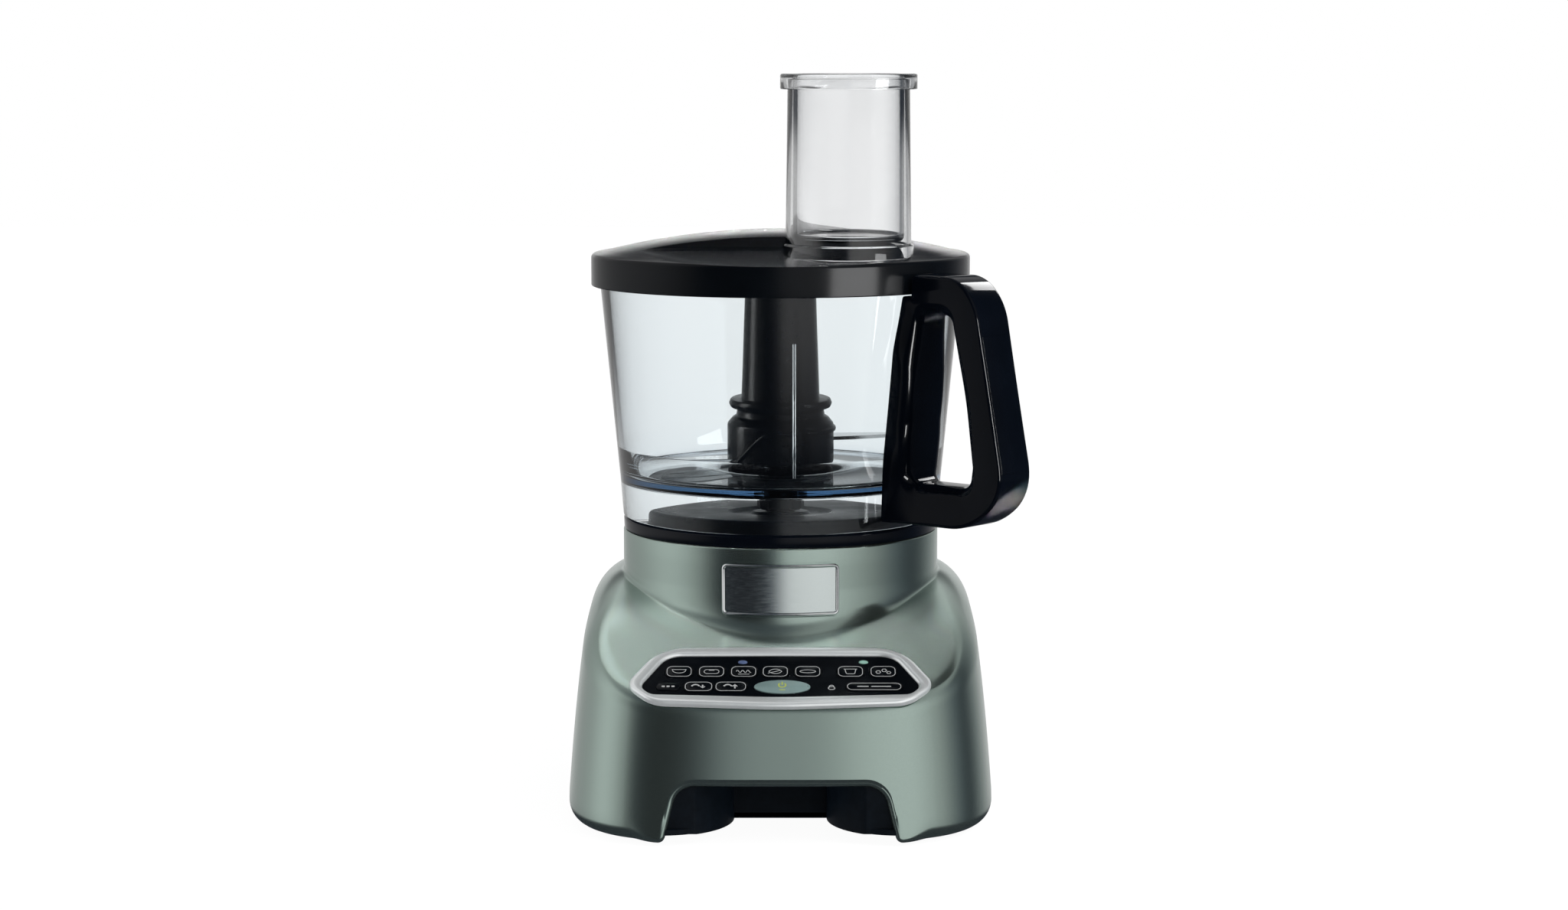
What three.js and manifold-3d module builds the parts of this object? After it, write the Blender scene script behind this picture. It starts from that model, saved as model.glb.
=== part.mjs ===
// A counter-top food processor: a squircle motor base with a sloped key panel, a clear three-litre
// bowl with a D handle, a chopping blade on a belt-driven spindle, and a lid with a feed tube and a
// pusher. Millimetres, +Z up. Everything is laid out about the drive axis, and the finished group is
// moved at the end so that the origin is the centre of its footprint on the worktop.
import * as THREE from "three";
import { mergeVertices } from "three/addons/utils/BufferGeometryUtils.js";
import Module from "manifold-3d";

const wasm = await Module();
wasm.setup();

// ---------------------------------------------------------------- driving dimensions

const GAP = 0.3; // running and seating clearance between neighbouring pieces

const BASE = {
  halfWidth: 118.5,
  halfDepth: 136,
  centreY: -28, // the plan's centre, ahead of the drive axis
  squareness: 4, // exponent of the superellipse plan
  sideDraft: 0.107,
  frontDraft: 0.13,
  bottom: 2,
  bottomRound: 8,
  lip: 9, // width of the rounded bottom edge, inside which the tray lies
  wall: 3,
  shoulder: 124, // height of the top face beside the collar
  topArc: 233, // radius of the top face's fall towards the front
  slopeStart: -102,
  slope: THREE.MathUtils.degToRad(26),
  sideFillet: 17,
  frontFillet: 4,
};
const COLLAR = { radius: 90, top: 148.7, bellStart: 126, bellGain: 0.0178, ledge: 80, ledgeTop: 138.5 };
const ARCH = { halfBottom: 67, halfTop: 50, top: 32.5, round: 12, backY: -120, neck: 25 };
const TRAY = { bottom: 6, top: 9, inset: 0.6 };
const PANEL = { y: -132, halfWidth: 81.4, halfHeight: 25.6 };
const BADGE = { halfWidth: 32.5, bottom: 112.2, top: 140.9, back: 88.8, face: 95.4 };

const SEAT = { bottom: 149, top: 156, outer: 89.6, inner: 76 };
const TURRET = { radius: 75, top: 163, wall: 3, hubOuter: 15, hubInner: 8.3 };
const SPINDLE = { radius: 6, bottom: 11.5, top: 170 };
const MOTOR = { y: -70, shaft: 4 };
const PULLEY = { bottom: 12, top: 20, driven: 34, driver: 8.5 };

const BOWL = {
  foot: 156.3,
  footRadius: 90,
  floorUnder: 176.8,
  floorTop: 180.3,
  floorRadius: 91.6,
  rim: 299,
  rimRadius: 103.4,
  wall: 2.6,
  chimneyOuter: 12.4,
  chimneyInner: 10.4,
  chimneyTop: 262,
};
const HANDLE = { azimuth: THREE.MathUtils.degToRad(47), halfWidth: 13.2, columnHalf: 17, cover: 4.5 };
const HUB = { bottom: 183, radius: 30.5, neck: 25, stemTop: 20, stemFoot: 22.4, top: 298 };
const BLADE = { tip: 82, thickness: 1.6, upperZ: 197, lowerZ: 186.2, socket: 26 };
const SHAFT = { radius: 7, top: 284 };

const LID = { radius: 107.5, bottom: 287.4, edge: 303.2, dome: 318.5, domeRadius: 412, wall: 2.9 };
const DECK = { back: -40, height: 309.3, fall: 0.076 }; // the lid's front deck, ahead of its dome
const TUBE = { x: 37.4, y: -55, foot: 34.8, collar: 36.2, mouth: 33.5, wall: 2.3, bottom: 300, top: 404 };
const PUSHER = { floor: 315, lip: 37.6, lipBottom: 398.2, top: 406.6 };

const ROUND = 36; // segments round the large turned parts
const CASING = 40; // segments round the base casing
const MEDIUM = 20;
const SMALL = 12;
const FACETS = 28; // segments round the feed tube

// ---------------------------------------------------------------- materials

const finish = (color, roughness, metalness = 0, extra = {}) =>
  new THREE.MeshStandardMaterial({ color, roughness, metalness, ...extra });
const clear = { transparent: true, opacity: 0.35 };
const PEWTER = finish(0x7f837b, 0.42, 0.6);
const BLACK_GLOSS = finish(0x0b0c0e, 0.12);
const BLACK_MATTE = finish(0x17181a, 0.55);
const CLEAR = finish(0xeaf2f4, 0.05, 0, clear);
const STEEL = finish(0xb9bcbd, 0.25, 1);
const CHROME = finish(0xcfd3d4, 0.15, 1);
const BRUSHED = finish(0xb4b8b6, 0.35, 1);
const RUBBER = finish(0x1b1b1c, 0.85);
const COPPER = finish(0xa85f32, 0.4, 1);
const BRONZE = finish(0xa98242, 0.35, 1);
const BOARD_GREEN = finish(0x2c5a3a, 0.6);
const SILVER_KEY = finish(0xa3aaa8, 0.3, 0.3);
const LENS_BLUE = finish(0x5577aa, 0.2, 0, clear);
const LENS_GREEN = finish(0x9fd0b0, 0.2, 0, clear);

// ---------------------------------------------------------------- geometry helpers

// A closed geometry as a manifold solid.
function solid(geometry) {
  const plain = geometry.index ? geometry.toNonIndexed() : geometry.clone();
  const bare = new THREE.BufferGeometry().setAttribute("position", plain.getAttribute("position"));
  const merged = mergeVertices(bare, 1e-4);
  const triVerts = new Uint32Array(merged.index.array);
  return new wasm.Manifold(
    new wasm.Mesh({ numProp: 3, vertProperties: merged.attributes.position.array, triVerts }),
  );
}

function geometryOf(made) {
  const mesh = made.getMesh();
  return new THREE.BufferGeometry()
    .setAttribute("position", new THREE.BufferAttribute(mesh.vertProperties, 3))
    .setIndex(new THREE.BufferAttribute(mesh.triVerts, 1));
}

const cut = (body, ...tools) => tools.reduce((made, tool) => made.subtract(tool), body);
const join = (body, ...others) => others.reduce((made, other) => made.add(other), body);

// A solid turned about +Z from [radius, z] points, listed anticlockwise: up the outside, down the inside.
function turned(profile, segments = ROUND) {
  const points = profile.map(([r, z]) => new THREE.Vector2(r, z));
  const open = points[0].x > 0 || points.at(-1).x > 0;
  if (open) points.push(points[0].clone());
  return solid(new THREE.LatheGeometry(points, segments).rotateX(Math.PI / 2));
}

const rod = (radius, bottom, top, segments = SMALL) =>
  turned([[0, bottom], [radius, bottom], [radius, top], [0, top]], segments);
const ring = (outer, inner, bottom, top, segments = SMALL) =>
  turned([[inner, bottom], [outer, bottom], [outer, top], [inner, top]], segments);

// A flat outline raised from z = bottom to z = top.
function prism(shape, bottom, top, curveSegments = 6) {
  const options = { depth: top - bottom, bevelEnabled: false, curveSegments };
  return solid(new THREE.ExtrudeGeometry(shape, options).translate(0, 0, bottom));
}

const box = (x0, x1, y0, y1, z0, z1) =>
  solid(
    new THREE.BoxGeometry(x1 - x0, y1 - y0, z1 - z0).translate((x0 + x1) / 2, (y0 + y1) / 2, (z0 + z1) / 2),
  );

// A solid moved by a three.js matrix.
const moved = (body, matrix) => body.transform(matrix.elements);
const shift = (x, y, z = 0) => new THREE.Matrix4().makeTranslation(x, y, z);

// An outline through [x, y] corners, each rounded by an arc of its own radius.
function roundedOutline(corners) {
  const shape = new THREE.Shape();
  const point = ([x, y]) => new THREE.Vector2(x, y);
  corners.forEach(([x, y, radius], i) => {
    const at = point([x, y]);
    const before = point(corners.at(i - 1)).sub(at).normalize();
    const after = point(corners[(i + 1) % corners.length]).sub(at).normalize();
    const reach = radius / Math.tan(before.angleTo(after) / 2);
    const start = at.clone().addScaledVector(before, reach);
    const end = at.clone().addScaledVector(after, reach);
    if (i === 0) shape.moveTo(start.x, start.y);
    else shape.lineTo(start.x, start.y);
    shape.quadraticCurveTo(at.x, at.y, end.x, end.y);
  });
  shape.closePath();
  return shape;
}

// A bar with round ends, of the given overall width and height.
function pill(x, y, width, height) {
  const r = height / 2;
  const half = width / 2 - r;
  const shape = new THREE.Shape();
  shape.absarc(x + half, y, r, -Math.PI / 2, Math.PI / 2);
  shape.absarc(x - half, y, r, Math.PI / 2, 1.5 * Math.PI);
  return shape;
}

function oval(x, y, width, height) {
  const shape = new THREE.Shape();
  shape.absellipse(x, y, width / 2, height / 2, 0, 2 * Math.PI);
  return shape;
}

// A closed band of quads through a list of rings; the last ring joins the first.
function ringLoft(rings) {
  const count = rings[0].length;
  const positions = rings.flat(2);
  const index = [];
  rings.forEach((_, k) => {
    const a = k * count;
    const b = ((k + 1) % rings.length) * count;
    for (let i = 0; i < count; i++) {
      const j = (i + 1) % count;
      index.push(a + i, a + j, b + j, a + i, b + j, b + i);
    }
  });
  return new THREE.BufferGeometry()
    .setAttribute("position", new THREE.BufferAttribute(new Float32Array(positions), 3))
    .setIndex(index);
}

// ---------------------------------------------------------------- the scene

const processor = new THREE.Group();

function add(name, body, material) {
  const mesh = new THREE.Mesh(body.isBufferGeometry ? body : geometryOf(body), material);
  mesh.name = name;
  processor.add(mesh);
  return mesh;
}

// ---------------------------------------------------------------- motor base casing

// Height of the casing's top face at depth y: level behind the axis, an arc, then a straight slope.
function topFace(y) {
  const arc = (at) => BASE.shoulder - BASE.topArc + Math.sqrt(BASE.topArc ** 2 - at ** 2);
  if (y >= 0) return BASE.shoulder;
  if (y >= BASE.slopeStart) return arc(y);
  return arc(BASE.slopeStart) + Math.tan(BASE.slope) * (y - BASE.slopeStart);
}

// A point of the base's plan in direction angle, at a height, drawn in from the outline by inset.
function planPoint(angle, z, inset) {
  const rise = z - BASE.bottom;
  const a = BASE.halfWidth - BASE.sideDraft * rise - inset;
  const b = BASE.halfDepth - BASE.frontDraft * rise - inset;
  const n = BASE.squareness;
  const c = Math.cos(angle);
  const s = Math.sin(angle);
  const r = (Math.abs(c / a) ** n + Math.abs(s / b) ** n) ** (-1 / n);
  return [r * c, BASE.centreY + r * s, z];
}

const bellRadius = (z) => COLLAR.radius + COLLAR.bellGain * Math.max(0, COLLAR.bellStart - z) ** 2;

// Where the collar's bell meets the top face in direction angle.
function creasePoint(angle, depth) {
  let r = COLLAR.radius;
  for (let i = 0; i < 12; i++) r = bellRadius(topFace(r * Math.sin(angle)));
  r -= depth;
  return [r * Math.cos(angle), r * Math.sin(angle), topFace(r * Math.sin(angle)) - depth];
}

// One radial section of the casing, from its bottom edge to the collar's top, depth inside the surface.
function casingSection(angle, depth) {
  const points = depth ? [planPoint(angle, BASE.bottom, BASE.lip), planPoint(angle, BASE.lip + 5, depth)] : [];
  for (const turn of depth ? [] : [0, 0.5, 1]) {
    const swing = (turn * Math.PI) / 2;
    const inset = BASE.bottomRound * (1 - Math.sin(swing));
    points.push(planPoint(angle, BASE.bottom + BASE.bottomRound * (1 - Math.cos(swing)), inset));
  }
  let edge = BASE.shoulder;
  for (let i = 0; i < 8; i++) edge = topFace(planPoint(angle, edge, 0)[1]);
  const outlineY = planPoint(angle, edge, 0)[1];
  const ahead = THREE.MathUtils.smoothstep(-outlineY, 60, 150);
  const fillet = THREE.MathUtils.lerp(BASE.sideFillet, BASE.frontFillet, ahead);
  const start = edge - fillet - depth;
  points.push(planPoint(angle, start, depth));
  const inner = planPoint(angle, edge, fillet + depth);
  const end = topFace(inner[1]) - depth;
  for (const turn of depth ? [0.5] : [0.4, 0.75]) {
    const swing = (turn * Math.PI) / 2;
    const at = planPoint(angle, edge, fillet * (1 - Math.cos(swing)) + depth);
    points.push([at[0], at[1], start + (end - start) * Math.sin(swing)]);
  }
  points.push([inner[0], inner[1], end]);
  const crease = creasePoint(angle, depth);
  for (const share of depth ? [0.5] : [0.33, 0.67]) {
    const x = THREE.MathUtils.lerp(inner[0], crease[0], share);
    const y = THREE.MathUtils.lerp(inner[1], crease[1], share);
    points.push([x, y, topFace(y) - depth]);
  }
  points.push(crease);
  const bellTop = COLLAR.bellStart + 2 - depth;
  for (const share of depth ? [] : [0.55]) {
    const z = THREE.MathUtils.lerp(crease[2], bellTop, share);
    const r = bellRadius(z);
    points.push([r * Math.cos(angle), r * Math.sin(angle), z]);
  }
  const straight = COLLAR.radius - depth;
  const ledge = [
    [straight, COLLAR.ledgeTop - BASE.wall],
    [COLLAR.ledge, COLLAR.ledgeTop - BASE.wall],
    [COLLAR.ledge, COLLAR.ledgeTop],
    [straight, COLLAR.ledgeTop],
    [straight, COLLAR.top],
  ];
  const rest = depth ? ledge : [[straight, bellTop], [straight, COLLAR.top]];
  points.push(...rest.map(([r, z]) => [r * Math.cos(angle), r * Math.sin(angle), z]));
  return points;
}

// The casing's outer and inner faces as rings round the base, listed as one loop.
function casingRings(depth) {
  const angles = Array.from({ length: CASING }, (_, i) => (2 * Math.PI * i) / CASING);
  const sections = angles.map((angle) => casingSection(angle, depth));
  return sections[0].map((_, k) => sections.map((section) => section[k]));
}

// The arch cut in the front of the casing, drawn in the X-Z plane.
function archOutline(grow) {
  const low = ARCH.halfBottom + grow;
  const high = ARCH.halfTop + grow;
  const top = ARCH.top + grow;
  return roundedOutline([
    [-low, -5, 0.01],
    [low, -5, 0.01],
    [high, top, ARCH.round],
    [-high, top, ARCH.round],
  ]);
}

// A prism drawn in X-Z and running along Y, from y0 back to y1.
function frontPrism(shape, y0, y1) {
  const turn = new THREE.Matrix4().makeRotationX(Math.PI / 2);
  return moved(moved(prism(shape, 0, y1 - y0), turn), shift(0, y1));
}

// Plan of the hollow behind the arch: wide at the front, its sides curving in to a narrow back.
function recessPlan(grow) {
  const front = BASE.centreY - BASE.halfDepth - 10;
  const wide = ARCH.halfBottom + grow;
  const neck = ARCH.neck + grow;
  const back = ARCH.backY + grow;
  const mouth = -158;
  const shape = new THREE.Shape();
  shape.moveTo(-wide, front);
  shape.lineTo(wide, front);
  shape.lineTo(wide, mouth);
  shape.quadraticCurveTo(neck, mouth, neck, back);
  shape.lineTo(-neck, back);
  shape.quadraticCurveTo(-neck, mouth, -wide, mouth);
  shape.closePath();
  return shape;
}

// Panel coordinates: u across, v up the slope, n out of it.
const panelFrame = shift(0, PANEL.y, topFace(PANEL.y)).multiply(
  new THREE.Matrix4().makeRotationX(BASE.slope),
);

function bezelOutline(inset) {
  const w = PANEL.halfWidth - inset;
  const h = PANEL.halfHeight - inset;
  const half = [
    [0, -h, 0.01],
    [w * 0.8, -h + 2.6, 14],
    [w, -6, 6],
    [w * 0.79, h - 1.2, 10],
    [0, h, 0.01],
  ];
  const mirrored = half.slice(1, 4).reverse().map(([x, y, r]) => [-x, y, r]);
  return roundedOutline([...half, ...mirrored]);
}

const SCREW_POSTS = [[-94, -118], [94, -118], [-94, 62], [94, 62]];
const CORD = { z: 30, hole: 6 };
// The gland's frame: its axis is square to the back wall, which leans in by the draft.
const glandFrame = shift(0, planPoint(Math.PI / 2, CORD.z, 0)[1], CORD.z).multiply(
  new THREE.Matrix4().makeRotationX(Math.atan(BASE.frontDraft) - Math.PI / 2),
);

// The badge's block: a curved plate on the front of the collar, between two radii.
function badgeBlock(inner, outer, grow) {
  const reach = BADGE.halfWidth + grow;
  const shape = roundedOutline([
    [-reach, BADGE.bottom - grow, 3],
    [reach, BADGE.bottom - grow, 3],
    [reach, BADGE.top + grow, 3],
    [-reach, BADGE.top + grow, 3],
  ]);
  const band = ring(outer, inner, BADGE.bottom - 9, BADGE.top + 9, 60);
  return band.intersect(frontPrism(shape, -120, -60));
}

function baseShell() {
  const rings = [...casingRings(0), ...casingRings(BASE.wall).reverse()];
  const posts = SCREW_POSTS.map(([x, y]) => moved(rod(6, TRAY.top + GAP, 84), shift(x, y)));
  const holes = SCREW_POSTS.map(([x, y]) => moved(rod(1.9, 0, TRAY.top + 16), shift(x, y)));
  const panelHole = moved(prism(bezelOutline(3), -12, 12), panelFrame);
  const panelSeat = moved(prism(bezelOutline(-GAP), -1.2, 12), panelFrame);
  return cut(
    join(solid(ringLoft(rings)), ...posts),
    ...holes,
    frontPrism(archOutline(0), -180, -135),
    panelHole,
    panelSeat,
    badgeBlock(BADGE.back - GAP, BADGE.face + 20, GAP),
    moved(rod(CORD.hole + GAP, -12, 12), glandFrame),
  );
}

// The bottom cover: a plate inside the casing's edge, with the front hollow's own wall and roof.
function underTray() {
  const outline = new THREE.Shape();
  for (let i = 0; i < CASING; i++) {
    const [x, y] = planPoint((2 * Math.PI * i) / CASING, BASE.bottom, BASE.lip + TRAY.inset);
    if (i) outline.lineTo(x, y);
    else outline.moveTo(x, y);
  }
  outline.closePath();
  const inside = prism(outline, 0, 60);
  const plate = prism(outline, TRAY.bottom, TRAY.top);
  const liner = prism(recessPlan(2.5), TRAY.bottom, ARCH.top - 1).intersect(inside);
  const hollow = prism(recessPlan(0), -2, ARCH.top - 3.5);
  const holes = SCREW_POSTS.map(([x, y]) => moved(rod(2.1, 0, 20), shift(x, y)));
  const vents = Array.from({ length: 9 }, (_, i) => {
    return box(-24, 24, 24.5 + 7 * i, 27.5 + 7 * i, 0, 20);
  });
  return cut(join(plate, liner), hollow, ...holes, ...vents);
}

add("base_shell", baseShell(), PEWTER);
add("under_tray", underTray(), BLACK_MATTE);

const FEET = { front_left: [-80, -128], front_right: [80, -128], rear_left: [-72, 78], rear_right: [72, 78] };
for (const [corner, [x, y]] of Object.entries(FEET)) {
  const foot = turned([[0, 0], [8.5, 0], [10, 1.5], [10, TRAY.bottom - GAP], [0, TRAY.bottom - GAP]], SMALL);
  add(`foot_${corner}`, moved(foot, shift(x, y)), RUBBER);
}

SCREW_POSTS.forEach(([x, y], i) => {
  const head = TRAY.bottom - GAP;
  const profile = [[0, head - 2.2], [3.6, head - 2.2], [3.6, head], [1.6, head], [1.6, 21], [0, 21]];
  add(`tray_screw_${i + 1}`, moved(turned(profile, 12), shift(x, y)), STEEL);
});

// The gland that the mains lead would leave by: a flanged bush with a hole for the lead.
function cordGland() {
  const profile = [[3.6, -8], [CORD.hole, -8], [CORD.hole, GAP], [9, GAP], [7.5, 5], [3.6, 5]];
  return moved(turned(profile, SMALL), glandFrame);
}
add("cord_gland", cordGland(), RUBBER);

const badgeFrame = cut(badgeBlock(BADGE.back, BADGE.face, 0), badgeBlock(BADGE.face - 1.6, 120, -2.2));
add("badge_frame", badgeFrame, CHROME);
add("badge_plate", badgeBlock(BADGE.face - 1.6 + GAP, BADGE.face - 0.6, -2.2 - GAP), BRUSHED);

// ---------------------------------------------------------------- key panel

const PLATE = { top: 0.6, bottom: -2.2, inset: 7.6 };
const KEY = { top: 1.0, bottom: -3.6, clearance: 0.35, curve: 3 };
const KEYS = {
  program_key_1: pill(-54.3, 4.2, 14.4, 10.2),
  program_key_2: pill(-36.9, 4.2, 14.4, 10.2),
  program_key_3: pill(-19.7, 4.2, 14.4, 10.2),
  program_key_4: pill(-2.7, 4.2, 14.4, 10.2),
  program_key_5: pill(14.7, 4.2, 14.4, 10.2),
  blend_key_1: pill(37.6, 4.2, 14.4, 10.2),
  blend_key_2: pill(55.1, 4.2, 14.4, 10.2),
  pulse_key: pill(-59.8, -9, 12.4, 6.6),
  speed_down_key: pill(-43.6, -9, 15.6, 9),
  speed_up_key: pill(-26.4, -9, 17.2, 9),
  start_key: oval(1, -9, 30, 11.6),
  lock_key: pill(50, -9, 30, 7.2),
};
const LENSES = { blue_lens: oval(-20.3, 13.1, 5, 3), green_lens: oval(44.7, 13.1, 5, 3) };

// An outline's copy, larger by grow all round, for the hole that a key or lens moves in.
function grown(shape, grow) {
  const spots = shape.getPoints(KEY.curve);
  const centre = spots.reduce((sum, p) => sum.add(p), new THREE.Vector2()).divideScalar(spots.length);
  const size = new THREE.Box2().setFromPoints(spots).getSize(new THREE.Vector2());
  const scaled = spots.map(
    (p) =>
      new THREE.Vector2(
        centre.x + ((p.x - centre.x) * (size.x + 2 * grow)) / size.x,
        centre.y + ((p.y - centre.y) * (size.y + 2 * grow)) / size.y,
      ),
  );
  return new THREE.Shape(scaled);
}

function panelBezel() {
  const rim = prism(bezelOutline(0), -1.2 + GAP, 2.6);
  const window = prism(bezelOutline(PLATE.inset - GAP), -5, 5);
  return moved(rim.subtract(window), panelFrame);
}

function panelPlate() {
  const outline = bezelOutline(PLATE.inset);
  const spaces = [...Object.values(KEYS), ...Object.values(LENSES)].map((shape) =>
    prism(grown(shape, KEY.clearance), -9, 9),
  );
  return moved(cut(prism(outline, PLATE.bottom, PLATE.top), ...spaces), panelFrame);
}

add("panel_bezel", panelBezel(), CHROME);
add("panel_plate", panelPlate(), BLACK_GLOSS);
for (const [name, shape] of Object.entries(KEYS)) {
  const key = moved(prism(shape, KEY.bottom, KEY.top, KEY.curve), panelFrame);
  add(name, key, name === "start_key" ? SILVER_KEY : BLACK_GLOSS);
}
const lens = (shape) => moved(prism(shape, PLATE.bottom, PLATE.top, KEY.curve), panelFrame);
add("blue_lens", lens(LENSES.blue_lens), LENS_BLUE);
add("green_lens", lens(LENSES.green_lens), LENS_GREEN);

// The board behind the keys, with one small switch under each key, 1.2 mm below it.
function controlBoard() {
  const board = prism(roundedOutline([[-66, -15, 2], [66, -15, 2], [62, 17, 2], [-62, 17, 2]]), -9.2, -7.6);
  const switches = Object.values(KEYS).map((shape) => {
    const at = new THREE.Box2().setFromPoints(shape.getPoints(4)).getCenter(new THREE.Vector2());
    return box(at.x - 3, at.x + 3, at.y - 3, at.y + 3, -8, KEY.bottom - 1.2);
  });
  return moved(join(board, ...switches), panelFrame);
}
add("control_board", controlBoard(), BOARD_GREEN);

// ---------------------------------------------------------------- bowl seat and spindle

add(
  "seat_ring",
  turned([
    [SEAT.inner, SEAT.bottom],
    [SEAT.outer, SEAT.bottom],
    [SEAT.outer, SEAT.top - 1],
    [SEAT.outer - 1, SEAT.top],
    [SEAT.inner, SEAT.top],
  ]),
  BLACK_GLOSS,
);

// The drum inside the bowl's foot. Its flange stands on the collar's inner ledge, and its hub holds
// the spindle's upper bearing.
function turret() {
  const under = TURRET.top - TURRET.wall;
  const foot = COLLAR.ledgeTop + GAP;
  return turned([
    [TURRET.hubInner, 122],
    [TURRET.hubOuter, 122],
    [TURRET.hubOuter, under],
    [TURRET.radius - TURRET.wall, under],
    [TURRET.radius - TURRET.wall, foot],
    [COLLAR.radius - BASE.wall - 1, foot],
    [COLLAR.radius - BASE.wall - 1, foot + 3],
    [TURRET.radius, foot + 3],
    [TURRET.radius, TURRET.top - 2],
    [TURRET.radius - 2, TURRET.top],
    [TURRET.hubInner, TURRET.top],
    [TURRET.hubInner, 152],
    [11.2, 152],
    [11.2, 140],
    [TURRET.hubInner, 140],
  ]);
}
add("turret", turret(), BLACK_MATTE);

const bearing = (bottom, top) => ring(10.9, SPINDLE.radius + GAP, bottom, top);
add("upper_bearing", bearing(140.3, 151.7), BRONZE);
add("lower_bearing", bearing(26.3, 33.7), BRONZE);

// A steel bridge over the driven pulley, on two legs, holding the spindle's lower bearing.
function bearingBridge() {
  const deck = box(-52, 52, -13, 13, 28, 31);
  const boss = rod(14, 26, 34);
  const legs = [-48, 48].map((x) => box(x - 4, x + 4, -13, 13, TRAY.top + GAP, 29));
  return cut(join(deck, boss, ...legs), rod(11.2, 20, 40));
}
add("bearing_bridge", bearingBridge(), STEEL);

const vee = (radius, bore) => {
  const { bottom, top } = PULLEY;
  const groove = Math.min(4, radius / 3);
  return [
    [bore, bottom],
    [radius, bottom],
    [radius, bottom + 1],
    [radius - groove, bottom + 2.5],
    [radius - groove, top - 2.5],
    [radius, top - 1],
    [radius, top],
    [bore, top],
  ];
};

add("spindle", rod(SPINDLE.radius, SPINDLE.bottom, SPINDLE.top), STEEL);
add("driven_pulley", turned(vee(PULLEY.driven, SPINDLE.radius + GAP), MEDIUM), BLACK_MATTE);

// The dog on top of the spindle: a six-lobed boss that the bowl's shaft drops over.
function driveDog() {
  const shape = new THREE.Shape();
  for (let i = 0; i < 12; i++) {
    const r = i % 2 ? 8.6 : 11;
    const at = (i * Math.PI) / 6;
    const [x, y] = [r * Math.cos(at), r * Math.sin(at)];
    if (i) shape.lineTo(x, y);
    else shape.moveTo(x, y);
  }
  shape.closePath();
  const skirt = rod(7.8, 152.3, TURRET.top + 0.8);
  const dog = prism(shape, TURRET.top + 0.5, 170.6);
  return cut(join(dog, skirt), rod(SPINDLE.radius + GAP, 150, SPINDLE.top + GAP));
}
add("drive_dog", driveDog(), BLACK_MATTE);

// ---------------------------------------------------------------- motor and belt

const atMotor = shift(0, MOTOR.y);

// The belt's outline: two arcs joined by the tangents, larger or smaller by grow.
function beltPath(grow) {
  const [big, small] = [PULLEY.driven - 3 + grow, PULLEY.driver - 1.8 + grow];
  const lean = Math.asin((big - small) / -MOTOR.y);
  const shape = new THREE.Shape();
  shape.absarc(0, 0, big, -lean, Math.PI + lean);
  shape.absarc(0, MOTOR.y, small, Math.PI + lean, 2 * Math.PI - lean);
  shape.closePath();
  return shape;
}
const beltBand = { bottom: PULLEY.bottom + 2.9, top: PULLEY.top - 2.9 };
add(
  "drive_belt",
  prism(beltPath(2), beltBand.bottom, beltBand.top, 7).subtract(prism(beltPath(0), 0, 40, 7)),
  RUBBER,
);

add("motor_pulley", moved(turned(vee(PULLEY.driver, MOTOR.shaft + GAP), SMALL), atMotor), STEEL);

// The armature: shaft, slotted core and commutator.
function armature() {
  const core = rod(20, 43, 71, MEDIUM);
  const slots = Array.from({ length: 8 }, (_, i) => {
    const turn = new THREE.Matrix4().makeRotationZ((i * Math.PI) / 4);
    return moved(box(14, 22, -1, 1, 40, 75), turn);
  });
  const shaft = rod(MOTOR.shaft, 11.5, 93);
  return moved(join(cut(core, ...slots), shaft, rod(11, 75, 86)), atMotor);
}
add("armature", armature(), COPPER);

function stator() {
  const stack = prism(
    roundedOutline([[-35, -33, 9], [35, -33, 9], [35, 33, 9], [-35, 33, 9]]),
    41,
    73,
  );
  return moved(stack.subtract(rod(20.8, 30, 80, MEDIUM)), atMotor);
}
add("stator", stator(), STEEL);

function fan() {
  const hub = rod(9, 29, 38);
  const disc = rod(28, 29, 30.5, MEDIUM);
  const blades = Array.from({ length: 7 }, (_, i) => {
    const turn = new THREE.Matrix4().makeRotationZ((i * 2 * Math.PI) / 7);
    return moved(box(8, 27, -0.8, 0.8, 30, 37.5), turn);
  });
  return moved(cut(join(hub, disc, ...blades), rod(MOTOR.shaft + GAP, 20, 50)), atMotor);
}
add("motor_fan", fan(), BLACK_MATTE);

// The end frames carry the armature's bearings. The lower one stands on the tray, the upper on the stack.
function lowerFrame() {
  const deck = rod(31, 24, 27, MEDIUM);
  const legs = [[-24, -16], [24, -16], [-24, 16], [24, 16]].map(([x, y]) =>
    box(x - 3, x + 3, y - 3, y + 3, TRAY.top + GAP, 25),
  );
  const rails = [-32, 32].map((x) => box(x - 2.5, x + 2.5, -8, 8, 24, 41 - GAP));
  return moved(cut(join(deck, ...legs, ...rails), rod(MOTOR.shaft + GAP, 20, 40)), atMotor);
}
function upperFrame() {
  const deck = rod(14, 88, 91.5);
  const arms = [-1, 1].map((side) => join(
    box(Math.min(side * 10, side * 27), Math.max(side * 10, side * 27), -5, 5, 88, 91.5),
    box(Math.min(side * 24, side * 27), Math.max(side * 24, side * 27), -5, 5, 73 + GAP, 90),
  ));
  return moved(cut(join(deck, ...arms), rod(MOTOR.shaft + GAP, 80, 100)), atMotor);
}
add("lower_frame", lowerFrame(), BRUSHED);
add("upper_frame", upperFrame(), BRUSHED);

// ---------------------------------------------------------------- bowl and handle

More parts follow.
